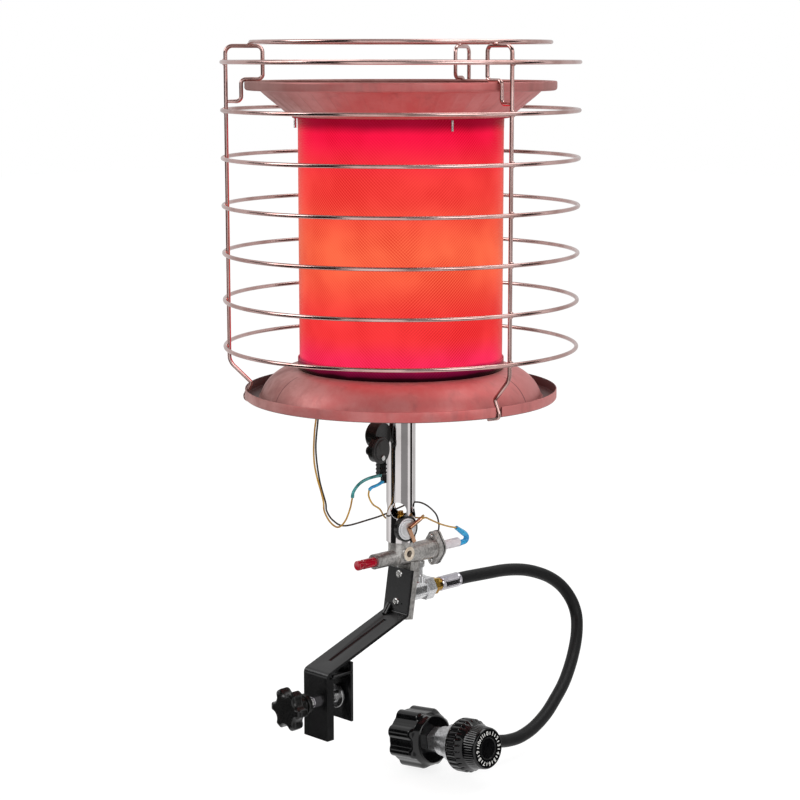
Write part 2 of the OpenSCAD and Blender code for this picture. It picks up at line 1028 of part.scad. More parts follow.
module clamp_knob() {
    color("black")
        translate([0, -60, -screw_drop])
            rotate([-90, 0, 0])
                difference() {
                    union() {
                        linear_extrude(15)
                            difference() {
                                circle(r = 21.5);
                                for (a = [0:60:300])
                                    rotate(a)
                                        translate([25, 0])
                                            circle(r = 9);
                            }
                        translate([0, 0, 15])
                            cylinder(d = 17, h = 9);
                        translate([0, 0, 24])
                            cylinder(d = 22, h = 5);
                        translate([0, 0, 29])
                            cylinder(d = 14, h = 3.5);
                    }
                    translate([0, 0, 12])
                        cylinder(d = screw_d + 0.02, h = 30);
                }
}

module clamp_screw() {
    color("silver")
        translate([0, 0, -screw_drop])
            rotate([-90, 0, 0]) {
                translate([0, 0, -48])
                    cylinder(d = screw_d, h = 48 + pad_y - 6.5);
                translate([0, 0, pad_y - 7])
                    cylinder(d = 4.4, h = 4.2);
            }
}

module clamp_pad() {
    color("gray")
        translate([0, pad_y, -screw_drop])
            rotate([90, 0, 0])
                difference() {
                    union() {
                        cylinder(d = 24, h = 3);
                        cylinder(d = 12, h = 6);
                    }
                    translate([0, 0, 2.4])
                        cylinder(d = 5, h = 4);
                }
}

guard_top_ring();
guard_ring(0);  // guard_ring_1
guard_ring(1);  // guard_ring_2
guard_ring(2);  // guard_ring_3
guard_ring(3);  // guard_ring_4
guard_ring(4);  // guard_ring_5
guard_ring(5);  // guard_ring_6
guard_ring(6);  // guard_ring_7
guard_upright(0);  // guard_upright_1
guard_upright(1);  // guard_upright_2
guard_upright(2);  // guard_upright_3
top_reflector();
top_studs();
burner_cap();
burner_mesh();
inner_screen();
gas_baffle();
burner_floor();
base_reflector();
flame_probe();
mixing_tube();
flange_screws();
gas_jet();
tip_switch_housing();
tip_switch_cover();
tip_switch_screw();
tip_switch_strap();
terminal_sleeves();
heat_switch_clip();
heat_switch();
heat_switch_terminal();
probe_lead();
ground_lead();
link_lead();
magnet_lead();
magnet_sleeve();
valve_body();
valve_button();
valve_stem();
return_spring();
magnet_cap();
valve_screws();
inlet_pipe();
inlet_elbow();
hose_nut();
hose_ferrules();
hose();
regulator_body();
regulator_knob();
regulator_nipple();
coupling_nut();
bracket();
hook_inner_leg();
bracket_screws();
clamp_knob();
clamp_screw();
clamp_pad();
clamp_nut();
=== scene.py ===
"""Looks of the tank-top propane heater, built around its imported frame.

Shapes are worked out in millimetres and written to their meshes in metres.
"""

import math

import bmesh
import bpy
import numpy as np
from bpy.props import (
    BoolProperty,
    FloatProperty,
    FloatVectorProperty,
    IntProperty,
    PointerProperty,
)
from mathutils import Matrix, Vector


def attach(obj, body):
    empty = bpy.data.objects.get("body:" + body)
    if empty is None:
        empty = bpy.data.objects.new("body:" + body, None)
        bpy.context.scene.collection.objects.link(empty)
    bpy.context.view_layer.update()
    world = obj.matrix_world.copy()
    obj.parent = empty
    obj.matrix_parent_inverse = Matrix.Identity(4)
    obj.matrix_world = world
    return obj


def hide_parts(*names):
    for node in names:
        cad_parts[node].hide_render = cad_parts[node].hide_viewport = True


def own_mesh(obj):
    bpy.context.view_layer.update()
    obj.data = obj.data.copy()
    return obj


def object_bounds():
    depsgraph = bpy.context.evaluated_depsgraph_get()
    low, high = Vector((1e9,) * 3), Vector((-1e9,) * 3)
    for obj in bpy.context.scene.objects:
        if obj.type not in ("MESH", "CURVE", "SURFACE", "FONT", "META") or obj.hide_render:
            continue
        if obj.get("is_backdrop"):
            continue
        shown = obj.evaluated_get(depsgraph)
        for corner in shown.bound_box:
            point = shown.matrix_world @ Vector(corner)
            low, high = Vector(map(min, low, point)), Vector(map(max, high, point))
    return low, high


bl_info = {
    "name": "Tank-top propane heater",
    "version": (1, 0, 0),
    "blender": (4, 5, 0),
    "location": "View3D > Sidebar > Heater",
    "description": "Builds the finished pieces and finishes of a tank-top propane heater",
    "category": "Object",
}

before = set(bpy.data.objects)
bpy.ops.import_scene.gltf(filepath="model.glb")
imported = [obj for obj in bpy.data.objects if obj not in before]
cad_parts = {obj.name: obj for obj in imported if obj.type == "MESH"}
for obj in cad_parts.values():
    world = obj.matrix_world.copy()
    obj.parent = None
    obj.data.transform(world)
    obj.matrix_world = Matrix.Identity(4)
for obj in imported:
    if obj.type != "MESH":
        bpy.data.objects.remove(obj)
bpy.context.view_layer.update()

MM = 0.001
TAU = 2 * math.pi
POLE_Y = 102.0
UPRIGHT_TURNS = [math.radians(a) for a in (231.4, 351.4, 110.2)]
RING_RADIUS, CROWN_RADIUS, CROWN_HEIGHT = 176, 147.5, 621.3
TOP_RING, RING_PITCH, RINGS = 602, 46.7, 7
# Between the middles of two wires that are welded across each other, and half a weld's thickness.
WIRE_STEP, WELD_HALF = 3.8, 1.7
CLOTH_FOOT, CLOTH_TOP, CLOTH_RADIUS, CLOTH_MIDDLE = 300, 548, 101.95, 101.6
FOLD_HALF_TURN = 0.0115
LAP_TURN = math.radians(140)
STUD_RADIUS, STUD_TURNS = 105, (102.5, 222.5, 342.5)
NOTCH_HALF_TURN, NOTCH_RADIUS = 0.0235, 151.6
# Three dark lines painted on the base reflector's skirt as reflections of the guard's uprights, and
# the turn of the first.
REFLECTED_LINES, REFLECTED_LINE_TURN = 3, 0.262
HOSE_ACROSS, LEAD_ACROSS = 13.3, 1.8
EAR_OUT = 12.9
KNOB_REACH, NUT_CORE = 21.5, 27.6
FERRULE_LONG, FERRULE_RADIUS, FERRULE_FLAT = 29.2, 7.5, 7.25
DIAL_RADIUS, DIAL_FACE, DIAL_PLACES = 15.3, 82.0, 12
VALVE_Z = 103.0
INLET_Z = 62.5
REGULATOR_AT = (42.0, 102.0, -82.5)
REGULATOR_TILT = math.radians(6.5)
OUTLET_DIP = math.radians(12)
BEND = (94.9, 43.95)
PLATE_LEAN = math.radians(9.4)
SCREW_Z = -25.0


# ------------------------------------------------------------------ number helpers


def unit(v):
    """A vector, or rows of vectors, scaled to length one."""
    v = np.asarray(v, float)
    return v / np.maximum(np.linalg.norm(v, axis=-1, keepdims=True), 1e-12)


def smooth(value, low, high):
    """Rises from 0 at low to 1 at high as 3t^2 - 2t^3."""
    t = np.clip((np.asarray(value, float) - low) / (high - low), 0, 1)
    return t * t * (3 - 2 * t)


def linear(red, green, blue):
    """A screen colour of 0 to 255 as the linear colour that the shaders take."""
    return tuple(
        c / 12.92 if c <= 0.04045 else ((c + 0.055) / 1.055) ** 2.4
        for c in (red / 255, green / 255, blue / 255)
    )


def round_turns(count):
    """Turns at equal steps all the way round."""
    return np.arange(count) * TAU / count


def from_nearest(turns, count):
    """How far each turn is past the nearest of so many equal places."""
    half = math.pi / count
    return np.mod(turns + half, 2 * half) - half


def apart(turns, turn):
    """The angle between each turn and one turn."""
    return np.abs(np.angle(np.exp(1j * (turns - turn))))


def disc_edge(off, away, radius, side, missed):
    """Where lines at a turn off a disc's middle, which is so far away, meet its far edge, or its
    near one with side -1: away cos t + side sqrt(radius^2 - (away sin t)^2)."""
    under = np.maximum(radius**2 - (away * np.sin(off)) ** 2, 0)
    return np.where(under > 0, away * np.cos(off) + side * np.sqrt(under), missed)


def arc(centre, radius, start, end, steps):
    """Points at equal turns from start to end degrees round a centre in the plane."""
    t = np.radians(np.linspace(start, end, steps + 1))
    return np.column_stack([centre[0] + radius * np.cos(t), centre[1] + radius * np.sin(t)])


def rounded(path, radii, steps=6):
    """Each inner corner becomes an arc of its radius r that touches both of its sides: with the
    turn t it starts r tan(t/2) before the corner and bends evenly towards the side that follows."""
    path = np.asarray(path, float)
    radii = np.broadcast_to(radii, len(path))
    out = [path[:1]]
    for before, corner, after, r in zip(path, path[1:], path[2:], radii[1:-1]):
        way, onward = unit(corner - before), unit(after - corner)
        turn = math.acos(float(np.clip(way @ onward, -1, 1)))
        if r <= 0 or turn < 1e-4:
            out.append(corner[None])
            continue
        side = unit(onward - (onward @ way) * way)
        t = np.linspace(0, turn, steps + 1)[:, None]
        start = corner - way * r * math.tan(turn / 2)
        out.append(start + r * (np.sin(t) * way + (1 - np.cos(t)) * side))
    out.append(path[-1:])
    return np.vstack(out)


def even(path, count):
    """The path with its points at equal distances along it."""
    path = np.asarray(path, float)
    run = np.r_[0, np.cumsum(np.linalg.norm(np.diff(path, axis=0), axis=1))]
    at = np.linspace(0, run[-1], count)
    return np.column_stack([np.interp(at, run, path[:, k]) for k in range(path.shape[1])])


def flowing(points, per=8):
    """A smooth curve through the points: between two of them the cubic whose end slopes are half
    of the step between each point's neighbours."""
    p = np.asarray(points, float)
    ends = np.vstack([2 * p[:1] - p[1:2], p, 2 * p[-1:] - p[-2:-1]])
    a, b, c, d = ends[:-3], ends[1:-2], ends[2:-1], ends[3:]
    t = (np.arange(per) / per)[None, :, None]
    a, b, c, d = (x[:, None] for x in (a, b, c, d))
    curve = 0.5 * (
        2 * b + (c - a) * t + (2 * a - 5 * b + 4 * c - d) * t**2 + (3 * b - a - 3 * c + d) * t**3
    )
    return np.vstack([curve.reshape(-1, p.shape[1]), p[-1:]])


def divided(line, step, least=2, more=0):
    """Each straight part of a line cut into equal pieces of about a step, and at least so many."""
    parts = [
        np.linspace(a, b, max(least, int(np.linalg.norm(b - a) / step) + more), endpoint=False)
        for a, b in zip(line, line[1:])
    ]
    return np.vstack([*parts, line[-1:]])


def walled(line, thickness):
    """The closed outline of a sheet whose middle line is given: the line moved half the thickness
    to each side along its normals, with half-round ends."""
    line = np.asarray(line, float)
    way = unit(np.gradient(line, axis=0))
    across = np.column_stack([-way[:, 1], way[:, 0]])
    half = thickness / 2

    def cap(end, out):
        t = np.radians(np.linspace(-90, 90, 5)[1:-1, None])
        return line[end] + half * (np.cos(t) * out * way[end] + np.sin(t) * out * across[end])

    return np.vstack([line - half * across, cap(-1, 1), (line + half * across)[::-1], cap(0, -1)])


# ------------------------------------------------------------------ meshes


class Axis:
    """A line to turn shapes about. The point at radius r, height h and turn t is
    origin + h along + r (cos t side + sin t across)."""

    def __init__(self, origin, along, side):
        self.origin = np.array(origin, float)
        self.along = unit(along)
        side = np.array(side, float)
        self.side = unit(side - (side @ self.along) * self.along)
        self.across = np.cross(self.along, self.side)

    def point(self, r, h, t):
        r, h, t = (x[..., None] for x in np.broadcast_arrays(r, h, t))
        out = np.cos(t) * self.side + np.sin(t) * self.across
        return self.origin + h * self.along + r * out

    def moved(self, height):
        return Axis(self.origin + height * self.along, self.along, self.side)


POLE = Axis((0, POLE_Y, 0), (0, 0, 1), (1, 0, 0))
VALVE = Axis((0, 0, VALVE_Z), (0, 1, 0), (0, 0, 1))
INLET = Axis((0, 0, INLET_Z), (0, 1, 0), (0, 0, 1))
REGULATOR = Axis(
    REGULATOR_AT, (math.cos(REGULATOR_TILT), 0, math.sin(REGULATOR_TILT)), (0, 0, 1)
)
OUTLET = Axis(
    REGULATOR.origin + 38 * REGULATOR.along,
    (0, math.cos(OUTLET_DIP), -math.sin(OUTLET_DIP)),
    (0, 0, 1),
)
PLATE = Axis(
    (0, BEND[0], BEND[1]),
    (0, math.cos(PLATE_LEAN), -math.sin(PLATE_LEAN)),
    (0, math.sin(PLATE_LEAN), math.cos(PLATE_LEAN)),
)
CLAMP = Axis((0, 0, SCREW_Z), (0, 1, 0), (0, 0, 1))


def turned(axis, outline, steps=96, wider=0, higher=0, turns=None):
    """An outline of [radius, height] rows carried round the axis: rows by turns. wider and higher
    are added to the radius and the height, and may change with both."""
    outline = np.asarray(outline, float)
    if turns is None:
        turns = round_turns(steps)
    return axis.point(outline[:, :1] + wider, outline[:, 1:] + higher, turns[None, :])


def carried(path, start):
    """Two side vectors for each point of a path, turned with it and never twisted: each side is
    the one before, less its part along the path."""
    way = unit(np.gradient(np.asarray(path, float), axis=0))
    sides = np.empty_like(way)
    side = np.array(start, float)
    for i, w in enumerate(way):
        side = unit(side - (side @ w) * w)
        sides[i] = side
    return sides, np.cross(way, sides)


def swept(path, section, start=(0, 0, 1), size=1.0):
    """A section of [side, up] rows carried along a path: point = path + size (s side + u up)."""
    section = np.asarray(section, float)
    side, up = carried(path, start)
    size = np.broadcast_to(size, len(path))[:, None, None]
    flat = section[None, :, :1] * side[:, None] + section[None, :, 1:] * up[:, None]
    return np.asarray(path, float)[:, None] + size * flat


def circle(radius, sides):
    """Equal steps round a circle, as [side, up] rows."""
    t = round_turns(sides)
    return radius * np.column_stack([np.cos(t), np.sin(t)])


def rod(path, radius, sides, start=(0, 0, 1)):
    """A round wire along a path whose two ends are eased off over a third of a millimetre."""
    path = np.asarray(path, float)
    run = np.r_[0, np.cumsum(np.linalg.norm(np.diff(path, axis=0), axis=1))]
    near_end = np.minimum(run, run[-1] - run)
    return swept(path, circle(radius, sides), start, 0.8 + 0.2 * smooth(near_end, 0, 0.35))


def blob(centre, sides, radii):
    """An ellipsoid: centre + a cos u cos v x + b cos u sin v y + c sin u z."""
    rows, columns = 8, 14
    u = np.linspace(-math.pi / 2, math.pi / 2, rows)[:, None, None]
    v = round_turns(columns)[None, :, None]
    x, y, z = (np.asarray(s, float) * r for s, r in zip(sides, radii))
    flat = np.cos(v) * x + np.sin(v) * y
    return np.asarray(centre, float) + np.cos(u) * flat + np.sin(u) * z


class Form:
    """Closed grids of points that become one mesh, each turned so that its faces point outwards."""

    def __init__(self):
        self.points, self.faces, self.count = [], [], 0

    def add(self, grid, ring=False, caps=True):
        """Joins each point of a grid to its neighbours, with its columns closed into rings. Its
        rows close too if ring is set, and otherwise its first and last rows get flat caps."""
        rows, columns = grid.shape[:2]
        flat = grid.reshape(-1, 3)
        index = np.arange(rows * columns).reshape(rows, columns)
        index = np.hstack([index, index[:, :1]])
        if ring:
            index = np.vstack([index, index[:1]])
        corners = index[:-1, :-1], index[:-1, 1:], index[1:, 1:], index[1:, :-1]
        quads = np.stack(corners, -1).reshape(-1, 4)
        faces = quads.tolist()
        a, b, c, d = (flat[quads[:, k]] for k in range(4))
        volume = float((a * np.cross(b, c) + a * np.cross(c, d)).sum())
        if caps and not ring:
            faces += [index[0, :-1][::-1].tolist(), index[-1, :-1].tolist()]
            for row, sign in ((0, -1), (-1, 1)):
                edge = grid[row]
                fan = edge.mean(0) * np.cross(edge, np.roll(edge, -1, axis=0))
                volume += sign * float(fan.sum())
        if volume < 0:
            faces = [f[::-1] for f in faces]
        self.faces += [[i + self.count for i in f] for f in faces]
        self.points.append(flat)
        self.count += len(flat)
        return self

    def object(self, name, finish, slot, node=None, body="heater"):
        """Makes the object, in metres, which stands for a CAD node if one is named."""
        mesh = bpy.data.meshes.new(name)
        mesh.from_pydata((np.vstack(self.points) * MM).tolist(), [], self.faces)
        tidy(mesh)
        return placed(mesh, finish, [node] if node else [], body)


def lathed(axis, points, radii, corner_steps, steps):
    """A rounded outline that starts and ends on the axis, turned about it."""
    return Form().add(turned(axis, rounded(points, radii, corner_steps), steps), caps=False)


def tidy(mesh, flat_turn=None):
    """Merges points that meet, drops faces of no area and, with a turn, joins flat faces."""
    work = bmesh.new()
    work.from_mesh(mesh)
    bmesh.ops.remove_doubles(work, verts=work.verts, dist=2e-6)
    bmesh.ops.dissolve_degenerate(work, edges=work.edges, dist=1e-7)
    if flat_turn:
        bmesh.ops.dissolve_limit(work, angle_limit=flat_turn, verts=work.verts, edges=work.edges)
    work.to_mesh(mesh)
    work.free()


def placed(mesh, finish, replaces=(), body="heater", crease=38):
    """The mesh's object, with its finish, its smooth faces and its sharp edges, on its body."""
    mesh.materials.clear()
    mesh.materials.append(FINISHES.get(finish))
    mesh.polygons.foreach_set("material_index", [0] * len(mesh.polygons))
    made = bpy.data.objects.new(mesh.name, mesh)
    bpy.context.scene.collection.objects.link(made)
    made.data.shade_smooth()
    made.data.set_sharp_from_angle(angle=math.radians(crease))
    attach(made, body)
    if replaces:
        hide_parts(*replaces)
    return made


def eased(name, node, finish, edge, body="heater", crease=30):
    """A copy of a CAD node with merged points and its edges rounded over by a bevel."""
    mesh = bpy.data.meshes.new(name)
    work = bmesh.new()
    work.from_mesh(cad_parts[node].data)
    work.to_mesh(mesh)
    work.free()
    tidy(mesh, flat_turn=math.radians(0.6))
    made = placed(mesh, finish, [node], body, crease)
    bevel = made.modifiers.new("edges", "BEVEL")
    bevel.width = edge * MM
    bevel.segments = 2
    bevel.limit_method = "ANGLE"
    bevel.angle_limit = math.radians(crease)
    bevel.harden_normals = True
    return made


def painted(finish, *nodes):
    """CAD nodes that keep their shape get a finish."""
    for node in nodes:
        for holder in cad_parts[node].material_slots:
            holder.material = FINISHES.get(finish)


# ------------------------------------------------------------------ finishes


class Wire:
    """A socket in an expression: each operator adds the Math node that does the same."""

    def __init__(self, finish, socket):
        self.finish, self.socket = finish, socket

    def math(self, operation, *values):
        return self.finish.node("Math", {"operation": operation}, dict(enumerate(values)))

    def __add__(self, other):
        return self.math("ADD", self, other)

    __radd__ = __add__

    def __sub__(self, other):
        return self.math("SUBTRACT", self, other)

    def __rsub__(self, other):
        return self.math("SUBTRACT", other, self)

    def __mul__(self, other):
        return self.math("MULTIPLY", self, other)

    __rmul__ = __mul__

    def __truediv__(self, other):
        return self.math("DIVIDE", self, other)

    def __pow__(self, other):
        return self.math("POWER", self, other)

    def sine(self):
        return self.math("SINE", self)

    def size(self):
        return self.math("ABSOLUTE", self)

    def most(self, other):
        return self.math("MAXIMUM", self, other)

    def rise(self, low, high):
        """0 at low and 1 at high, with eased ends."""
        return self.finish.node(
            "MapRange",
            {"interpolation_type": "SMOOTHSTEP"},
            {"Value": self, "From Min": low, "From Max": high},
        )


class Nodes:
    """The node tree of a material or a world, with one method that adds nodes to it."""

    def __init__(self, holder):
        holder.use_nodes = True
        self.tree = holder.node_tree

    def feed(self, socket, value):
        if isinstance(value, Wire):
            self.tree.links.new(value.socket, socket)
        elif isinstance(value, tuple) and socket.type == "RGBA":
            socket.default_value = (*value, 1.0)
        else:
            socket.default_value = value

    def node(self, kind, settings=None, inputs=None, output=0):
        """Adds a node of a kind. Its settings are set first, then the values or links of its
        sockets. A colour ramp's stops are [position, colour] pairs."""
        made = self.tree.nodes.new("ShaderNode" + kind)
        for key, value in (settings or {}).items():
            if key == "stops":
                ramp = made.color_ramp
                ramp.interpolation = "EASE"
                while len(ramp.elements) < len(value):
                    ramp.elements.new(0.5)
                for stop, (position, colour) in zip(ramp.elements, value):
                    stop.position = position
                    stop.color = (*colour, 1.0)
            else:
                setattr(made, key, value)
        for key, value in (inputs or {}).items():
            self.feed(made.inputs[key], value)
        return Wire(self, made.outputs[output])

    def outputs(self, kind, inputs=None):
        """All outputs of a new node, by name or number."""
        sockets = self.node(kind, inputs=inputs).socket.node.outputs
        return lambda key: Wire(self, sockets[key])

    def close(self, surface):
        self.feed(self.tree.nodes["Material Output"].inputs[0], surface)


class Finish(Nodes):
    """A material in the making, on one Principled shader."""

    def __init__(self, name, **constants):
        self.material = bpy.data.materials.new(name)
        super().__init__(self.material)
        self.shader = self.tree.nodes["Principled BSDF"]
        for key, value in constants.items():
            self.set(key.replace("_", " "), value)
        self.place = None

    def where(self, stretch=(1, 1, 1), shift=(0, 0, 0)):
        """The object's own coordinates in metres, centred and stretched."""
        if self.place is None:
            self.place = self.node("TexCoord", output="Object")
        return self.node(
            "Mapping", inputs={"Vector": self.place, "Location": shift, "Scale": stretch}
        )

    def round_pole(self):
        """Turn, radius and height about the burner's axis."""
        part = self.outputs("SeparateXYZ", {0: self.where(shift=(0, -POLE_Y * MM, 0))})
        x, y, z = part(0), part(1), part(2)
        return x.math("ARCTAN2", y, x), (x * x + y * y) ** 0.5, z

    def noise(self, scale, detail=3.0, roughness=0.55, stretch=(1, 1, 1)):
        place = self.where(stretch)
        return self.node(
            "TexNoise",
            inputs={"Vector": place, "Scale": scale, "Detail": detail, "Roughness": roughness},
        )

    def mix(self, share, first, second, blend="MIX"):
        """first where share is 0 and second where it is 1, or its product with the first."""
        return self.node(
            "Mix", {"data_type": "RGBA", "blend_type": blend}, {0: share, 6: first, 7: second}, 2
        )

    def set(self, name, value):
        self.feed(self.shader.inputs[name], value)

    def relief(self, height, distance):
        """Bumps the surface by the height times the distance in millimetres."""
        self.set("Normal", self.node("Bump", inputs={"Height": height, "Distance": distance * MM}))

    def coat(self, share, first, second, roughness, height, distance):
        """Sets the colour, from first to second with the share, the roughness and the relief."""
        self.set("Base Color", self.mix(share, first, second))
        self.set("Roughness", roughness)
        self.relief(height, distance)
        return self


def bright_metal(name, colour, worn, roughness, grain=(1, 1, 1), metal=1.0):
    """Metal with a faint drift of colour and roughness, and a fine grain along one direction."""
    f = Finish(name, Metallic=metal)
    drift, grains = f.noise(38, 4), f.noise(900, 2, stretch=grain)
    rough = roughness + 0.10 * (drift - 0.5) + 0.12 * (grains - 0.5)
    return f.coat(drift.rise(0.35, 0.7), linear(*colour), linear(*worn), rough, grains, 0.02)


def guard_chrome(name):
    """Bright chromed wire, a little browner where it has been hottest."""
    f = Finish(name, Metallic=1.0)
    drift, fine = f.noise(24, 3), f.noise(420, 2)
    rough = 0.15 + 0.10 * (drift - 0.5).most(0) + 0.03 * fine
    colour = tuple(bpy.context.scene.heater_finishes.guard)
    return f.coat(drift.rise(0.35, 0.8), colour, linear(168, 126, 118), rough, fine, 0.008)


def reflector_steel(name):
    """Pressed steel with the long soft waves that a pressing leaves. A painted reflection of the
    burner's glow makes it rosy, rosier on one side and in one pool, and greyer on the other;
    painted shade makes the trough dark brown. Folds run up the top reflector's cone, darkened by
    painted shade, and three dark lines, painted reflections of the guard's uprights, run down the
    base reflector's skirt."""
    look = bpy.context.scene.heater_finishes
    f = Finish(name, Specular_IOR_Level=0.4)
    turn, radius, height = f.round_pole()
    waves, blotch = f.noise(9, 2, 0.4), f.noise(34, 5, 0.65)
    streaks = f.noise(60, 3, 0.6, stretch=(1, 1, 0.25))
    fine = f.noise(700, 2)
    # Where each part of the two reflectors lies, by its radius and its height in metres.
    low, above = 1 - height.rise(0.2795, 0.285), height.rise(0.5, 0.51)
    trough = radius.rise(0.1415, 0.1445) * (1 - radius.rise(0.1562, 0.1568)) * low
    cone = radius.rise(0.1085, 0.111) * (1 - radius.rise(0.136, 0.139)) * above
    folds = bpy.context.scene.heater_burner.flutes * 0.5
    fold = cone * (1 - (turn * folds).sine().size().rise(0.02, 0.2))
    # Painted reflections of the guard's uprights: dark lines down the skirt, away from the line
    # turns.
    skirt = radius.rise(0.115, 0.119) * (1 - radius.rise(0.139, 0.1425)) * height.rise(0.26, 0.27)
    seam = ((turn - REFLECTED_LINE_TURN) * (REFLECTED_LINES / 2)).sine().size()
    upright_reflection = (skirt - skirt * height.rise(0.4, 0.5)) * (1 - seam.rise(0.004, 0.012))
    # Painted reflection of the burner's glow at fixed turns: a rosier side and a rosiest pool.
    # sin(turn + a) is highest at a quarter turn less a.
    side = ((turn + 1.35).sine() * 0.5 + 0.5).rise(0.0, 0.75)
    glow_pool = ((turn + 2.25).sine() * 0.5 + 0.5).rise(0.72, 1.0)
    # Painted reflection of the glow: greyer on the dim side, rosy on the lit side, red in the pool.
    dim_side_tone = f.mix(blotch.rise(0.35, 0.7), linear(190, 146, 140), linear(152, 104, 98))
    glow_lit_tone = f.mix(waves.rise(0.38, 0.66), tuple(look.reflector), linear(214, 142, 140))
    tone = f.mix(side * 0.85, dim_side_tone, glow_lit_tone)
    red = f.mix(glow_pool * (0.35 + 0.45 * blotch.rise(0.3, 0.7)), tone, linear(206, 96, 95))
    aged = f.mix(0.4 * streaks.rise(0.5, 0.8), red, linear(142, 84, 82))
    rim = radius.rise(0.139, 0.1412) * above
    dull = f.mix(0.5 * rim * (1 - 0.7 * glow_pool), aged, linear(132, 98, 92))
    # Painted shade along the cone's folds, and painted reflections of the uprights as dark lines on
    # the skirt.
    crease = 0.26 * fold * (1 - 0.9 * glow_pool) + 0.75 * upright_reflection
    shaded_and_reflected = f.mix(crease, dull, linear(96, 44, 42))
    # Painted shade: the trough under the base reflector's lip turns dark brown.
    f.set("Base Color", f.mix(0.92 * trough, shaded_and_reflected, linear(58, 20, 16)))
    f.set("Metallic", 0.52 - 0.47 * trough)
    f.set("Roughness", 0.46 + 0.16 * (blotch - 0.5) + 0.06 * fine)
    f.relief(waves * 1.2 + blotch * 0.22 + fine * 0.012, 0.5)
    return f


# The cloth's glow colour from its foot to its top, as a share of its height, with painted shade in
# the darkest stops at the very foot and the very top.
GLOW_AND_SHADE = [
    (0.006, linear(18, 2, 7)), (0.018, linear(98, 8, 46)), (0.030, linear(122, 12, 60)),
    (0.050, linear(247, 46, 92)), (0.17, linear(243, 58, 60)), (0.48, linear(249, 108, 72)),
    (0.74, linear(243, 68, 62)), (0.94, linear(243, 22, 68)), (0.985, linear(150, 10, 44)),
]  # fmt: skip


def glow_cloth(name):
    """Wire cloth at red heat: orange in the middle and crimson towards both ends, with painted
    shade at its very foot and top. Its two sets of wires cross on the slant, and the one that lies
    on top changes from patch to patch."""
    sizes = bpy.context.scene.heater_burner
    f = Finish(
        name, Roughness=1.0, Specular_IOR_Level=0.0,
        Sheen_Weight=1.0, Sheen_Roughness=0.25, Sheen_Tint=(1.0, 0.72, 0.6),
    )  # fmt: skip
    turn, _, height = f.round_pole()
    up = (height - CLOTH_FOOT * MM) / ((CLOTH_TOP - CLOTH_FOOT) * MM)
    across = turn * float(round(TAU * CLOTH_MIDDLE / sizes.weave_pitch))
    rise = height * (TAU / (sizes.weave_pitch * MM))
    uneven, wander = f.noise(26, 3, 0.5), f.noise(30, 2, 0.5)
    patch = ((turn * 3.0 + 2.36).sine() + 2.4 * (wander - 0.5)).rise(-0.35, 0.35)
    over = (across + rise).sine() * 0.5 + 0.5
    under = (across - rise).sine() * 0.5 + 0.5
    first = over * (1 - patch) + under * patch
    thread = 0.78 * first + 0.22 * (over * patch + under * (1 - patch))
    strength = f.noise(18, 2, 0.5).rise(0.3, 0.7)
    ramp = f.node("ValToRGB", {"stops": GLOW_AND_SHADE}, {"Fac": up + 0.02 * (uneven - 0.5)})
    depth = (0.25 + 0.75 * strength) * thread * sizes.weave_depth
    shade = f.mix(0.8 * depth, ramp, (0.68, 0.26, 0.3), "MULTIPLY")
    f.set("Base Color", linear(24, 4, 5))
    f.set("Emission Color", shade)
    f.set("Emission Strength", sizes.glow)
    f.relief(thread, 0.25)
    return f


def tube_chrome(name):
    """Polished chrome, brushed lengthways, with wide even reflections."""
    f = Finish(name, Metallic=1.0)
    drift, brushed = f.noise(26, 3), f.noise(500, 2, stretch=(1, 1, 0.02))
    rough = 0.045 + 0.04 * (drift - 0.5).most(0) + 0.02 * brushed
    pale, dull = linear(216, 211, 211), linear(188, 183, 182)
    return f.coat(drift.rise(0.3, 0.8), pale, dull, rough, brushed, 0.003)


def rough_casting(name, light, dark, roughness=0.34, pits=0.18):
    """Die-cast metal: softly mottled, finely pitted and a little worn on its high spots."""
    f = Finish(name, Metallic=0.95)
    mottle, cloud = f.noise(420, 4, 0.6), f.noise(70, 3)
    worn = (0.6 * mottle + 0.4 * cloud).rise(0.36, 0.62)
    rough = roughness + 0.16 * (1 - mottle) + 0.08 * (cloud - 0.5)
    return f.coat(worn, linear(*dark), linear(*light), rough, mottle * 0.5 + cloud * 0.6, pits)


def powder_black(name):
    """Satin black powder coat with a fine orange peel, greyer on its worn high spots."""
    f = Finish(name, Specular_IOR_Level=0.6)
    peel, drift = f.noise(850, 2), f.noise(45, 4)
    rough = 0.24 + 0.12 * (drift - 0.5)
    return f.coat(drift.rise(0.5, 0.85), linear(9, 9, 10), linear(22, 22, 23), rough, peel, 0.02)


def moulded(name, colour, second, roughness, relief=0.03, coat=0.0, specular=0.5):
    """Moulded plastic or rubber: two near colours, a fine skin and soft changes of gloss."""
    f = Finish(name, Coat_Weight=coat, Specular_IOR_Level=specular)
    cloud, skin = f.noise(70, 3), f.noise(600, 3)
    rough = roughness + 0.12 * (cloud - 0.5) + 0.06 * (skin - 0.5)
    return f.coat(cloud.rise(0.3, 0.75), linear(*colour), linear(*second), rough, skin, relief)


def hose_rubber(name):
    """Black rubber with the faint wrapping marks of its cure and fine dust."""
    f = Finish(name, Specular_IOR_Level=0.22)
    skin, dust = f.noise(1100, 3), f.noise(90, 4)
    black, grey = linear(12, 12, 13), linear(32, 31, 31)
    rough = 0.46 + 0.14 * (dust - 0.5)
    return f.coat(dust.rise(0.55, 0.9), black, grey, rough, skin + dust * 0.4, 0.12)


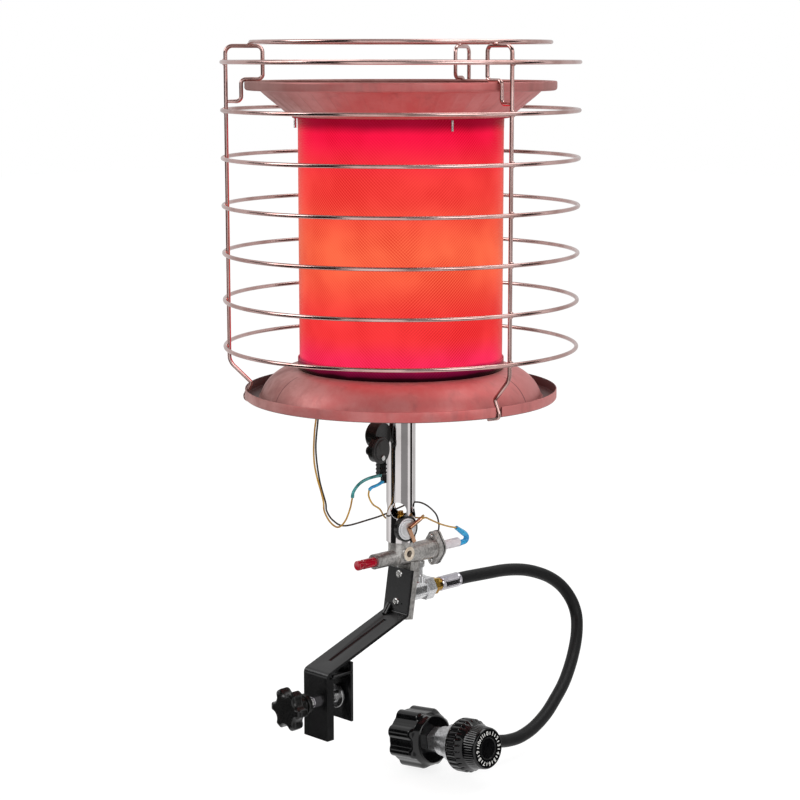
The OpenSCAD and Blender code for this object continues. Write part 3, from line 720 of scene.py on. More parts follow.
def burner_steel(name):
    """Steel that has been red hot: crimson and violet in cloudy patches, black at its foot."""
    f = Finish(name, Metallic=0.4)
    _, _, height = f.round_pole()
    cloud, blue = f.noise(34, 4, 0.6), f.noise(15, 2)
    brown = f.mix(cloud.rise(0.3, 0.7), linear(122, 14, 44), linear(74, 12, 30))
    tone = f.mix(0.5 * blue.rise(0.5, 0.75), brown, linear(64, 30, 66))
    rough = 0.42 + 0.2 * (cloud - 0.5)
    return f.coat(height.rise(0.3, 0.3035), linear(20, 4, 8), tone, rough, cloud, 0.15)


def brushed_face(name):
    """The overheat switch's turned aluminium face, grained across."""
    f = Finish(name, Metallic=0.9)
    lines = f.noise(700, 2, stretch=(0.05, 0.05, 1))
    grey, pale = linear(206, 206, 208), linear(236, 236, 238)
    return f.coat(lines, grey, pale, 0.3 + 0.15 * lines, lines, 0.02)


def sleeve_vinyl(name, colour, second):
    """Glossy, slightly clear vinyl, streaked where it is stretched."""
    f = Finish(name, Coat_Weight=0.4, Transmission_Weight=0.15)
    streak = f.noise(160, 3)
    rough = 0.28 + 0.12 * (streak - 0.5)
    return f.coat(streak.rise(0.35, 0.7), linear(*colour), linear(*second), rough, streak, 0.08)


# Each finish's maker and what it is given after the name: screen colours, roughness and more.
FINISH_MAKERS = {
    "guard_chrome": (guard_chrome,),
    "reflector_steel": (reflector_steel,),
    "glow_cloth": (glow_cloth,),
    "tube_chrome": (tube_chrome,),
    "zinc_plate": (bright_metal, (214, 213, 211), (168, 168, 170), 0.22),
    "crimped_steel": (bright_metal, (226, 222, 228), (180, 176, 184), 0.13, (1, 0.05, 1)),
    "brass": (bright_metal, (222, 182, 88), (164, 118, 44), 0.15),
    "pale_brass": (bright_metal, (240, 228, 210), (214, 190, 162), 0.38, (1, 1, 1), 0.4),
    "copper": (bright_metal, (222, 182, 152), (156, 112, 84), 0.18),
    "valve_casting": (rough_casting, (206, 203, 200), (150, 147, 144)),
    "regulator_casting": (rough_casting, (218, 218, 219), (168, 168, 170), 0.28),
    "elbow_casting": (rough_casting, (238, 238, 239), (206, 206, 208), 0.12, 0.05),
    "powder_black": (powder_black,),
    "black_plastic": (moulded, (8, 8, 8), (17, 16, 15), 0.24, 0.015, 0, 0.4),
    "grey_plastic": (moulded, (46, 45, 44), (34, 33, 33), 0.4, 0.03, 0, 0.35),
    "gloss_black": (moulded, (6, 6, 7), (13, 13, 14), 0.12, 0.01, 0, 0.45),
    "white_plastic": (moulded, (236, 232, 234), (214, 208, 212), 0.35),
    "print_white": (moulded, (232, 232, 228), (206, 206, 202), 0.5),
    "red_plastic": (moulded, (176, 8, 38), (148, 4, 30), 0.16, 0.02, 0.6),
    "teal_sleeve": (sleeve_vinyl, (28, 128, 128), (96, 190, 190)),
    "blue_sleeve": (sleeve_vinyl, (12, 150, 214), (60, 190, 238)),
    "gold_lead": (moulded, (208, 162, 58), (160, 114, 42), 0.4),
    "black_lead": (moulded, (30, 26, 24), (70, 58, 50), 0.42),
    "hose_rubber": (hose_rubber,),
    "burner_steel": (burner_steel,),
    "brushed_face": (brushed_face,),
    # Painted shade: the dark red-brown floor of the port's bore.
    "dark_port": (moulded, (66, 18, 14), (38, 10, 10), 0.5),
}


class Finishes:
    """Makes each finish the first time that a piece asks for it."""

    def __init__(self):
        self.made = {}

    def get(self, name):
        if name not in self.made:
            maker, *given = FINISH_MAKERS[name]
            self.made[name] = maker(name, *given).material
        return self.made[name]


FINISHES = Finishes()


# ------------------------------------------------------------------ settings


class GuardSettings(bpy.types.PropertyGroup):
    wire: FloatProperty(
        name="Wire", description="Diameter of the guard's wire in millimetres",
        default=4.0, min=3.0, max=4.2,
    )
    weld: FloatProperty(
        name="Weld", description="Reach of the weld where two wires cross, in millimetres",
        default=3.4, min=2.2, max=4.5,
    )


class BurnerSettings(bpy.types.PropertyGroup):
    weave_pitch: FloatProperty(
        name="Weave", description="Distance between the cloth's wires in millimetres",
        default=3.2, min=1.0, max=6.0,
    )
    weave_depth: FloatProperty(
        name="Weave depth", description="How dark the gaps of the cloth are",
        default=1.4, min=0.0, max=2.0, subtype="FACTOR",
    )
    glow: FloatProperty(
        name="Glow", description="Strength of the cloth's glow", default=1.14, min=0.0, max=5.0
    )
    flutes: IntProperty(
        name="Folds", description="Folds pressed round the top reflector's cone",
        default=48, min=12, max=72,
    )
    flute_depth: FloatProperty(
        name="Fold depth", description="Depth of the folds in millimetres",
        default=0.5, min=0.0, max=2.0,
    )


class FittingSettings(bpy.types.PropertyGroup):
    flutes: IntProperty(
        name="Knob ribs", description="Ribs round the pressure knob", default=24, min=12, max=40
    )
    numbers: BoolProperty(
        name="Numbers", description="Plain numbers round the pressure knob's face", default=True
    )
    thread_pitch: FloatProperty(
        name="Thread", description="Pitch of the clamp screw's thread in millimetres",
        default=1.0, min=0.5, max=2.0,
    )


class FinishSettings(bpy.types.PropertyGroup):
    guard: FloatVectorProperty(
        name="Guard", description="Colour of the guard's wire", subtype="COLOR",
        default=linear(212, 178, 173), min=0.0, max=1.0,
    )
    # The reflectors' rosy default colour is a painted reflection of the burner's glow.
    reflector: FloatVectorProperty(
        name="Reflectors", description="Colour of the reflectors' steel", subtype="COLOR",
        default=linear(212, 132, 130), min=0.0, max=1.0,
    )


class StageSettings(bpy.types.PropertyGroup):
    key: FloatProperty(
        name="Key light", description="Power of the large light on the left",
        default=26.0, min=0.0, subtype="POWER", unit="POWER",
    )
    fill: FloatProperty(
        name="Fill light", description="Power of the light on the right",
        default=14.0, min=0.0, subtype="POWER", unit="POWER",
    )
    sky: FloatProperty(
        name="Room light", description="Strength of the light that comes from all sides",
        default=0.62, min=0.0, max=2.0,
    )
    floor: FloatProperty(
        name="Floor", description="How much the floor is raised to white for the camera",
        default=1.18, min=0.0, max=2.0,
    )


# ------------------------------------------------------------------ cords

HOSE_ROUTE = [
    [0, 187.2, 62.5], [0, 198, 62.5], [0, 219, 61.5], [0, 238, 60.5], [0, 256, 59.5],
    [1, 274, 57.5], [2.5, 292, 54], [5, 309, 48.5], [8.5, 324, 41.5], [12.5, 337, 32],
    [17, 345.5, 21], [22, 350, 9], [27, 350, -3], [32.5, 345, -14], [38.5, 336.5, -26],
    [45.5, 323.5, -39], [52.5, 308.5, -51], [59.5, 291, -62.5], [66, 270.5, -73],
    [72, 248, -83.5], [77, 222, -91.5], [79.5, 198, -95], [79.8, 179, -94.2],
    [79.8, 167, -92], [79.8, 158.6, -90.2],
]  # fmt: skip
LEADS = {
    "probe_lead": ("gold_lead", "probe_lead_wire", [
        [-30, 14.2, 262], [-30, 12.9, 252], [-30, 10.8, 240], [-30, 9.5, 222],
        [-29, 9.5, 207], [-28, 12.4, 192], [-27, 16.2, 179], [-25, 17.7, 168],
        [-22, 16, 159.5], [-18, 20, 148.5], [-13, 26, 143], [-8, 31, 149], [-3, 33.2, 162],
        [2, 31.9, 175],
    ]),
    "ground_lead": ("black_lead", "ground_lead_wire", [
        [-30, 16.8, 262], [-31, 16.5, 251], [-31, 13.3, 222], [-29, 16, 191],
        [-27, 22.3, 167], [-26, 23, 158], [-24, 29.6, 147.7], [-22, 44.2, 140],
        [-19, 76.4, 142], [-18.5, 97, 144], [-19, 117, 147.3], [-14, 134.5, 151.5],
        [-7, 144.2, 149], [-3, 156, 138], [-1, 159, 127], [0, 157.3, 118.4],
    ]),
    "link_lead": ("gold_lead", "link_lead_wire", [
        [3, 54, 179], [0.5, 56, 172], [-5, 67, 161.3], [-11, 82.8, 152.7], [-18.5, 98.5, 140],
        [-19, 113, 137], [-10, 124, 138], [4, 125, 139.5], [16, 118.5, 144], [22.2, 111.6, 147],
        [23.9, 104.6, 144.3],
    ]),
    "magnet_lead": ("gold_lead", "magnet_lead_wire", [
        [25.6, 105.2, 144.7], [25.6, 112, 145.2], [22, 123, 140.6], [14, 145, 131.5],
        [3, 170, 122.8], [0, 184.4, 118.6],
    ]),
}  # fmt: skip
SLEEVES = {
    "probe_sleeve": ("teal_sleeve", [
        [2, 31.9, 175], [3.5, 31.5, 180], [6, 33.5, 185.6], [8, 38, 190], [9, 45, 192.5],
        [8.8, 55, 193.4], [5.6, 67.4, 192.6],
    ]),
    "link_sleeve": ("blue_sleeve", [
        [3, 54, 179], [4, 56.5, 181.5], [4.5, 61.5, 182.5], [4.5, 66, 183.4], [4.2, 72, 185.4],
    ]),
}  # fmt: skip


class HEATER_OT_cords(bpy.types.Operator):
    """Builds the gas hose and the four thin leads"""

    bl_idname = "heater.cords"
    bl_label = "Hose and leads"

    def execute(self, context):
        line = even(flowing(HOSE_ROUTE, 12), 260)
        hose = Form().add(rod(line, HOSE_ACROSS / 2, 28)).object(
            "gas_hose", "hose_rubber", "hose_rubber", "hose"
        )
        for node, (finish, name, route) in LEADS.items():
            line = flowing(route, 8)
            lead = Form().add(rod(line, LEAD_ACROSS / 2, 12)).object(name, finish, finish, node)
        return {"FINISHED"}


class HEATER_OT_sleeves(bpy.types.Operator):
    """Builds the vinyl sleeves on the terminals, each flared a little at its open end"""

    bl_idname = "heater.sleeves"
    bl_label = "Terminal sleeves"

    def execute(self, context):
        for name, (finish, route) in SLEEVES.items():
            line = even(flowing(route, 8), 40)
            t = np.linspace(0, 1, 40)
            size = 0.92 + 0.12 * (1 - smooth(t, 0, 0.12)) + 0.10 * smooth(t, 0.7, 0.95)
            Form().add(swept(line, circle(1.72, 16), (1, 0, 0), size)).object(
                name, finish, "blue_sleeve", "terminal_sleeves"
            )
        bend = [[0, 187, 101], [0, 208.5, 102.5], [0, 184.4, 118.6]]
        line = even(rounded(bend, 4.2, 10), 64)
        t = np.linspace(0, 1, 64)
        mouth = 0.06 * (1 - smooth(t, 0, 0.1))
        kink = 0.10 * smooth(t, 0.42, 0.5) * (1 - smooth(t, 0.5, 0.6))
        size = 1.0 + mouth - kink - 0.22 * smooth(t, 0.62, 1.0)
        Form().add(swept(line, circle(3.05, 20), (1, 0, 0), size)).object(
            "magnet_sleeve_bend", "blue_sleeve", "blue_sleeve", "magnet_sleeve"
        )
        return {"FINISHED"}


# ------------------------------------------------------------------ guard and reflectors


class HEATER_OT_guard(bpy.types.Operator):
    """Builds the guard's rings, its bent uprights and their welds"""

    bl_idname = "heater.guard"
    bl_label = "Wire guard"

    def ring(self, name, node, radius, height, inward=0, down=0):
        """A ring of wire with a weld at each upright, inside the ring or below it."""
        sizes = bpy.context.scene.heater_guard
        section = circle(sizes.wire / 2, 20) + (radius, height)
        form = Form().add(turned(POLE, section, 288), ring=True)
        reach = sizes.weld
        for turn in UPRIGHT_TURNS:
            out = np.array([math.cos(turn), math.sin(turn), 0])
            along = np.array([-math.sin(turn), math.cos(turn), 0])
            middle = POLE.point(radius - inward, height - down, turn)
            radii = (WELD_HALF, reach, reach) if inward else (reach, reach, WELD_HALF)
            form.add(blob(middle, (out, along, (0, 0, 1)), radii))
        form.object(name, "guard_chrome", "chrome_wire", node)

    def execute(self, context):
        half = WIRE_STEP / 2
        self.ring("guard_crown", "guard_top_ring", CROWN_RADIUS, CROWN_HEIGHT, down=half)
        for i in range(RINGS):
            height = TOP_RING - RING_PITCH * i
            name, node = f"guard_hoop_{i + 1}", f"guard_ring_{i + 1}"
            self.ring(name, node, RING_RADIUS, height, inward=half)
        side, top = RING_RADIUS - WIRE_STEP, CROWN_HEIGHT - WIRE_STEP
        path = [
            [side - half, 564], [157.2, 564], [157.2, 585.4], [136, 585.4], [136, top],
            [side, top], [side, 307], [150.5, 285.2], [159, 269], [141, 264.5],
        ]  # fmt: skip
        bends = rounded(path, [0, 5, 4.5, 5, 6, 7, 15, 3, 4, 0], 9)
        for i, turn in enumerate(UPRIGHT_TURNS):
            line = POLE.point(bends[:, 0], bends[:, 1], turn)
            across = (-math.sin(turn), math.cos(turn), 0)
            form = Form().add(rod(line, context.scene.heater_guard.wire / 2, 18, across))
            form.object(
                f"guard_wire_{i + 1}", "guard_chrome", "chrome_wire", f"guard_upright_{i + 1}"
            )
        return {"FINISHED"}


def reflector_turns(steps):
    """Even turns, with extra ones at the two edges of each notch."""
    marks = [t + e for t in UPRIGHT_TURNS for e in (-0.0246, -0.0222, 0.0222, 0.0246)]
    return np.unique(np.round(np.mod(np.r_[round_turns(steps), marks], TAU), 6))


class HEATER_OT_reflectors(bpy.types.Operator):
    """Builds the top reflector with its fluted cone and the base reflector with its domed skirt"""

    bl_idname = "heater.reflectors"
    bl_label = "Reflectors"

    def execute(self, context):
        sizes = context.scene.heater_burner
        line = rounded(
            [[0, 549.5], [108, 549.5], [139.5, 575.1], [153.5, 575.1], [153.5, 582.2],
             [153.1, 583.2], [151.8, 583.2], [151.4, 582]],
            [0, 6, 4, 2.4, 0.6, 0.6, 0.4, 0], 5,
        )  # fmt: skip
        outline = walled(divided(line, 5, 1, 1), 1.0)
        outline[:, 0] = np.maximum(outline[:, 0], 0)
        turns = round_turns(576)
        cone = smooth(outline[:, 0], 108, 114) * (1 - smooth(outline[:, 0], 133, 139))
        fold = from_nearest(turns, sizes.flutes)
        wave = np.maximum(1 - np.abs(fold) / FOLD_HALF_TURN, 0)
        dent = -sizes.flute_depth * cone[:, None] * wave[None, :]
        Form().add(turned(POLE, outline, turns=turns, higher=dent), ring=True).object(
            "top_dish", "reflector_steel", "reflector_steel", "top_reflector"
        )

        dome = arc((104.6, 260.2), 38.2, 89, 17, 26)
        trough = rounded(
            [[141.9, 270.0], [143.6, 269.0], [156.4, 269.0], [156.4, 278.4]], [0, 1.2, 1.6, 0], 4
        )
        flat = np.column_stack([np.linspace(15.7, 104, 13), np.full(13, 298.4)])
        outline = walled(np.vstack([flat, dome, trough]), 1.2)
        turns = reflector_turns(540)
        gap = np.zeros_like(turns)
        for turn in UPRIGHT_TURNS:
            gap[apart(turns, turn) < NOTCH_HALF_TURN] = 1
        rim = outline[:, :1] > NOTCH_RADIUS
        wider = np.where(rim, (NOTCH_RADIUS - outline[:, :1]) * gap, 0)
        lowest = np.clip(outline[:, 1:], 268.4, 269.6)
        higher = np.where(rim, (lowest - outline[:, 1:]) * gap, 0)
        grid = turned(POLE, outline, turns=turns, wider=wider, higher=higher)
        Form().add(grid, ring=True).object(
            "base_pan", "reflector_steel", "reflector_steel", "base_reflector"
        )
        return {"FINISHED"}


class HEATER_OT_burner(bpy.types.Operator):
    """Builds the glowing cloth with its hems and its lapped seam, and the studs beside it"""

    bl_idname = "heater.burner"
    bl_label = "Burner"

    def execute(self, context):
        heights = np.linspace(CLOTH_FOOT, CLOTH_TOP, 84)
        outer = np.full(84, CLOTH_RADIUS)
        outer += 0.3 * (1 - smooth(heights, 306, 307)) + 0.3 * smooth(heights, 543.5, 544.5)
        outline = np.vstack(
            [np.column_stack([outer, heights]), np.column_stack([outer - 0.7, heights])[::-1]]
        )
        turns = round_turns(360)
        lap = 0.25 * smooth(apart(turns, LAP_TURN), 0.05, 0.04)
        up = (outline[:, 1:] - CLOTH_FOOT) / (CLOTH_TOP - CLOTH_FOOT)
        wider = lap + 0.12 * np.sin(3 * turns + 0.6) * np.sin(up * math.pi)
        Form().add(turned(POLE, outline, turns=turns, wider=wider), ring=True).object(
            "glowing_cloth", "glow_cloth", "glow_mesh", "burner_mesh"
        )
        form = Form()
        head = rounded(
            [[0, 551.95], [2.2, 551.6], [2.8, 550.6], [2.8, 550.05], [0, 550.05]],
            [0, 0.6, 0.5, 0.2, 0], 3,
        )  # fmt: skip
        for turn in STUD_TURNS:
            axis = Axis(POLE.point(STUD_RADIUS, 0, math.radians(turn)), (0, 0, 1), (1, 0, 0))
            form.add(threaded(axis, 537.5, 549, 1.5, 0.7, 0.16))
            form.add(turned(axis, head, 20), caps=False)
        form.object("stud_screws", "zinc_plate", "zinc_steel", "top_studs")
        return {"FINISHED"}


def threaded(axis, low, high, radius, pitch, depth, steps=18, per_turn=6):
    """A screw: the radius falls by the depth as the height less the turn's share of the pitch goes
    through a groove, r = R - depth (0.5 - 0.5 cos(2 pi (h / pitch - t / 2 pi)))."""
    rows = int((high - low) / pitch * per_turn)
    h = np.linspace(low, high, rows)[:, None]
    t = round_turns(steps)[None, :]
    ease = smooth(h, low, low + pitch) * (1 - smooth(h, high - pitch, high))
    groove = depth * (0.5 - 0.5 * np.cos(TAU * (h / pitch) - t)) * ease
    chamfer = depth * 1.2 * (1 - smooth(np.minimum(h - low, high - h), 0, pitch * 0.5))
    return axis.point(radius - groove - chamfer, h, t)


# ------------------------------------------------------------------ tube, switches and valve


class HEATER_OT_tube(bpy.types.Operator):
    """Finishes the mixing tube and the parts inside the burner"""

    bl_idname = "heater.tube"
    bl_label = "Mixing tube"

    def execute(self, context):
        eased("polished_tube", "mixing_tube", "tube_chrome", 0.25)
        # The burner's cap and floor plates take the cloth's glow colour: painted glow and painted
        # shade, dark crimson on the cap and near black on the floor.
        painted("glow_cloth", "burner_cap", "burner_floor")
        painted("burner_steel", "gas_baffle", "inner_screen")
        painted("zinc_plate", "flange_screws", "flame_probe", "tip_switch_strap", "valve_stem")
        painted("brass", "gas_jet")
        coil = eased("return_coil", "return_spring", "zinc_plate", 0.5, crease=90)
        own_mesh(coil)
        return {"FINISHED"}


class HEATER_OT_switches(bpy.types.Operator):
    """Builds the tip-over switch and the overheat switch"""

    bl_idname = "heater.switches"
    bl_label = "Switches"

    def execute(self, context):
        eased("tip_switch_shell", "tip_switch_housing", "black_plastic", 0.9)
        eased("tip_switch_lid", "tip_switch_cover", "grey_plastic", 0.5)
        eased("tip_switch_bolt", "tip_switch_screw", "zinc_plate", 0.4)
        eased("heat_switch_cup", "heat_switch_clip", "black_plastic", 0.4)
        lathed(
            Axis((19.5, 91.7, 135.7), (0.9903, -0.1392, 0), (0, 0, 1)),
            [[0, -3.8], [11.2, -3.8], [11.2, 0.5], [9.7, 0.6], [9.4, 0.1], [9.1, 0.4],
             [9.0, 1.15], [6.6, 1.2], [6.4, 1.0], [0, 1.0]],
            [0, 0.3, 0.5, 0.2, 0.1, 0.1, 0.3, 0.2, 0.2, 0], 3, 64,
        ).object("heat_switch_disc", "brushed_face", "zinc_steel", "heat_switch")  # fmt: skip
        eased("heat_switch_tag", "heat_switch_terminal", "copper", 0.25)
        return {"FINISHED"}


def flange_outline(turns, grow):
    """Radius of the valve's two-eared flange: the furthest of its middle disc, its two ear discs
    and the straight webs that join them."""
    side, up = np.cos(turns), np.sin(turns)
    reach = np.full_like(turns, 12.0 + grow)
    for s in (-1, 1):
        ear = disc_edge(turns, EAR_OUT * s, 4.9 + grow, 1, 0)
        reach = np.maximum(reach, np.where(side * s > 0, ear, 0))
        for e in (-1, 1):
            a = np.array([7.3 * s, 9.5 * e]) * (1 + grow / 12)
            b = np.array([14.9 * s, 4.5 * e]) * (1 + grow / 16)
            edge = b - a
            cross = side * edge[1] - up * edge[0]
            r = (a[0] * edge[1] - a[1] * edge[0]) / np.where(np.abs(cross) < 1e-9, 1e-9, cross)
            share = ((r * side - a[0]) * edge[0] + (r * up - a[1]) * edge[1]) / (edge @ edge)
            reach = np.maximum(reach, np.where((r > 0) & (share >= 0) & (share <= 1), r, 0))
    return reach


class HEATER_OT_valve(bpy.types.Operator):
    """Builds the safety valve: casting, gasket, start button, magnet cap and port"""

    bl_idname = "heater.valve"
    bl_label = "Valve"

    def execute(self, context):
        eased("valve_casting_body", "valve_body", "valve_casting", 0.8)
        turns = round_turns(120)
        rows = np.array([[0, 153.6], [1, 153.6], [1, 154.5], [0, 154.5]])
        grid = VALVE.point(rows[:, :1] * flange_outline(turns, 0.35), rows[:, 1:], turns)
        Form().add(grid, caps=False).object("valve_gasket", "black_plastic", "black_plastic")

        port = Axis((13, 101.5, 107), (1, 0, 0), (0, 0, 1))
        lip = rounded(
            [[3.5, -4.0], [3.5, 0.05], [4.2, 0.45], [6.4, 0.45], [7.4, 0.05], [7.4, -1.0]],
            [0, 0.3, 0.3, 0.4, 0.2, 0], 3,
        )  # fmt: skip
        outline = np.vstack([lip, [[3.6, -1.0]]])
        form = Form().add(turned(port, outline, 48), ring=True)
        form.object("port_ring", "pale_brass", "brass")
        # Painted shade at the bottom of the port's bore.
        floor = [[0, -7.8], [3.4, -7.8], [3.4, -6.2], [1.2, -5.6], [0, -5.6]]
        form = Form().add(turned(port, floor, 32), caps=False)
        form.object("port_floor", "dark_port", "cast_zinc")

        lathed(
            VALVE,
            [[0, 39.5], [4.2, 39.5], [5, 40.3], [5, 44.5], [3.7, 45], [3.7, 47], [5, 47.5],
             [5, 75.5], [4.5, 76], [0, 76]],
            [0, 1.2, 0.8, 0.5, 0.5, 0.5, 0.5, 0.4, 0.3, 0], 4, 48,
        ).object(
            "start_button_cap", "red_plastic", "red_plastic", "valve_button", "start_button"
        )  # fmt: skip
        lathed(
            VALVE,
            [[0, 157], [6.5, 157], [6.5, 159.6], [5.5, 160.2], [5, 161], [5, 170], [4.6, 170.6],
             [4.6, 172], [5, 172.6], [5, 186.4], [4.4, 187], [0, 187]],
            [0, 0.2, 0.6, 0.4, 0.6, 0.3, 0.3, 0.3, 0.3, 0.5, 0.3, 0], 3, 40,
        ).object("magnet_insulator", "white_plastic", "white_plastic", "magnet_cap")  # fmt: skip
        form = Form()
        for s in (-1, 1):
            axis = Axis((0, 0, VALVE_Z + EAR_OUT * s), (0, 1, 0), (1, 0, 0))
            form.add(screw_head(axis, 146.9, 2.5, -2.4), caps=False)
            form.add(threaded(axis, 147, 153.4, 1.5, 0.6, 0.15, 14))
        form.object("valve_bolts", "zinc_plate", "zinc_steel", "valve_screws")
        return {"FINISHED"}


def screw_head(axis, base, radius, rise):
    """A domed screw head with a cross recess. The dome is base + rise (1/4 + 3/4 d), with
    d = (1 - (r / R)^2.6)^0.5, and it sinks by half its rise where either arm of the cross runs."""
    steps = 40
    r = np.r_[np.linspace(0, 0.92, 12), 0.97, 1.0, 1.0][:, None]
    t = round_turns(steps)[None, :]
    dome = (1 - r**2.6) ** 0.5
    x, y = np.abs(r * np.cos(t)), np.abs(r * np.sin(t))
    arms = np.maximum(
        (1 - smooth(x, 0.10, 0.17)) * (1 - smooth(y, 0.5, 0.6)),
        (1 - smooth(y, 0.10, 0.17)) * (1 - smooth(x, 0.5, 0.6)),
    )
    height = base + rise * (0.25 + 0.75 * dome) - 0.5 * rise * arms
    height = np.vstack([height[:-1], np.full((1, steps), base)])
    foot = axis.point(np.zeros((1, 1)), np.full((1, 1), base), t)
    return np.vstack([axis.point(r * radius, height, t), foot])


# ------------------------------------------------------------------ gas line


class HEATER_OT_gas_line(bpy.types.Operator):
    """Builds the inlet pipe, the elbow, the brass nut and the two crimped ferrules"""

    bl_idname = "heater.gas_line"
    bl_label = "Gas line"

    def execute(self, context):
        eased("inlet_pipe_nut", "inlet_pipe", "zinc_plate", 0.3)
        eased("elbow", "inlet_elbow", "elbow_casting", 0.7)
        eased("hose_union", "hose_nut", "brass", 0.5)
        form = Form()
        for axis in (INLET.moved(158), OUTLET.moved(28.6)):
            form.add(self.ferrule(axis))
        form.object("crimped_ferrules", "crimped_steel", "zinc_steel", "hose_ferrules")
        return {"FINISHED"}

    def ferrule(self, axis):
        """A collar whose middle is pressed to eight flats, each at its distance over the cosine
        of the turn from its middle, with a groove between the flats and two beads."""
        middle = np.linspace(0.9, FERRULE_LONG - 0.9, 60)
        h = np.r_[0, 0.3, middle, FERRULE_LONG - 0.3, FERRULE_LONG][:, None]
        t = round_turns(96)[None, :]
        off = from_nearest(t, 8)
        flats = np.minimum(FERRULE_FLAT / np.cos(off), 7.72)
        crimp = smooth(h, 3.2, 4.6) * (1 - smooth(h, 24.6, 26))
        groove = 0.45 * crimp * smooth(np.abs(off), 0.30, 0.385)
        bead = 0.22 * (np.exp(-(((h - 2) / 0.7) ** 2)) + np.exp(-(((h - 27) / 0.7) ** 2)))
        r = FERRULE_RADIUS + bead + crimp * (flats - FERRULE_RADIUS) - groove
        r = r - 0.5 * (1 - smooth(np.minimum(h, FERRULE_LONG - h), 0, 0.9))
        return axis.point(r, h, t)


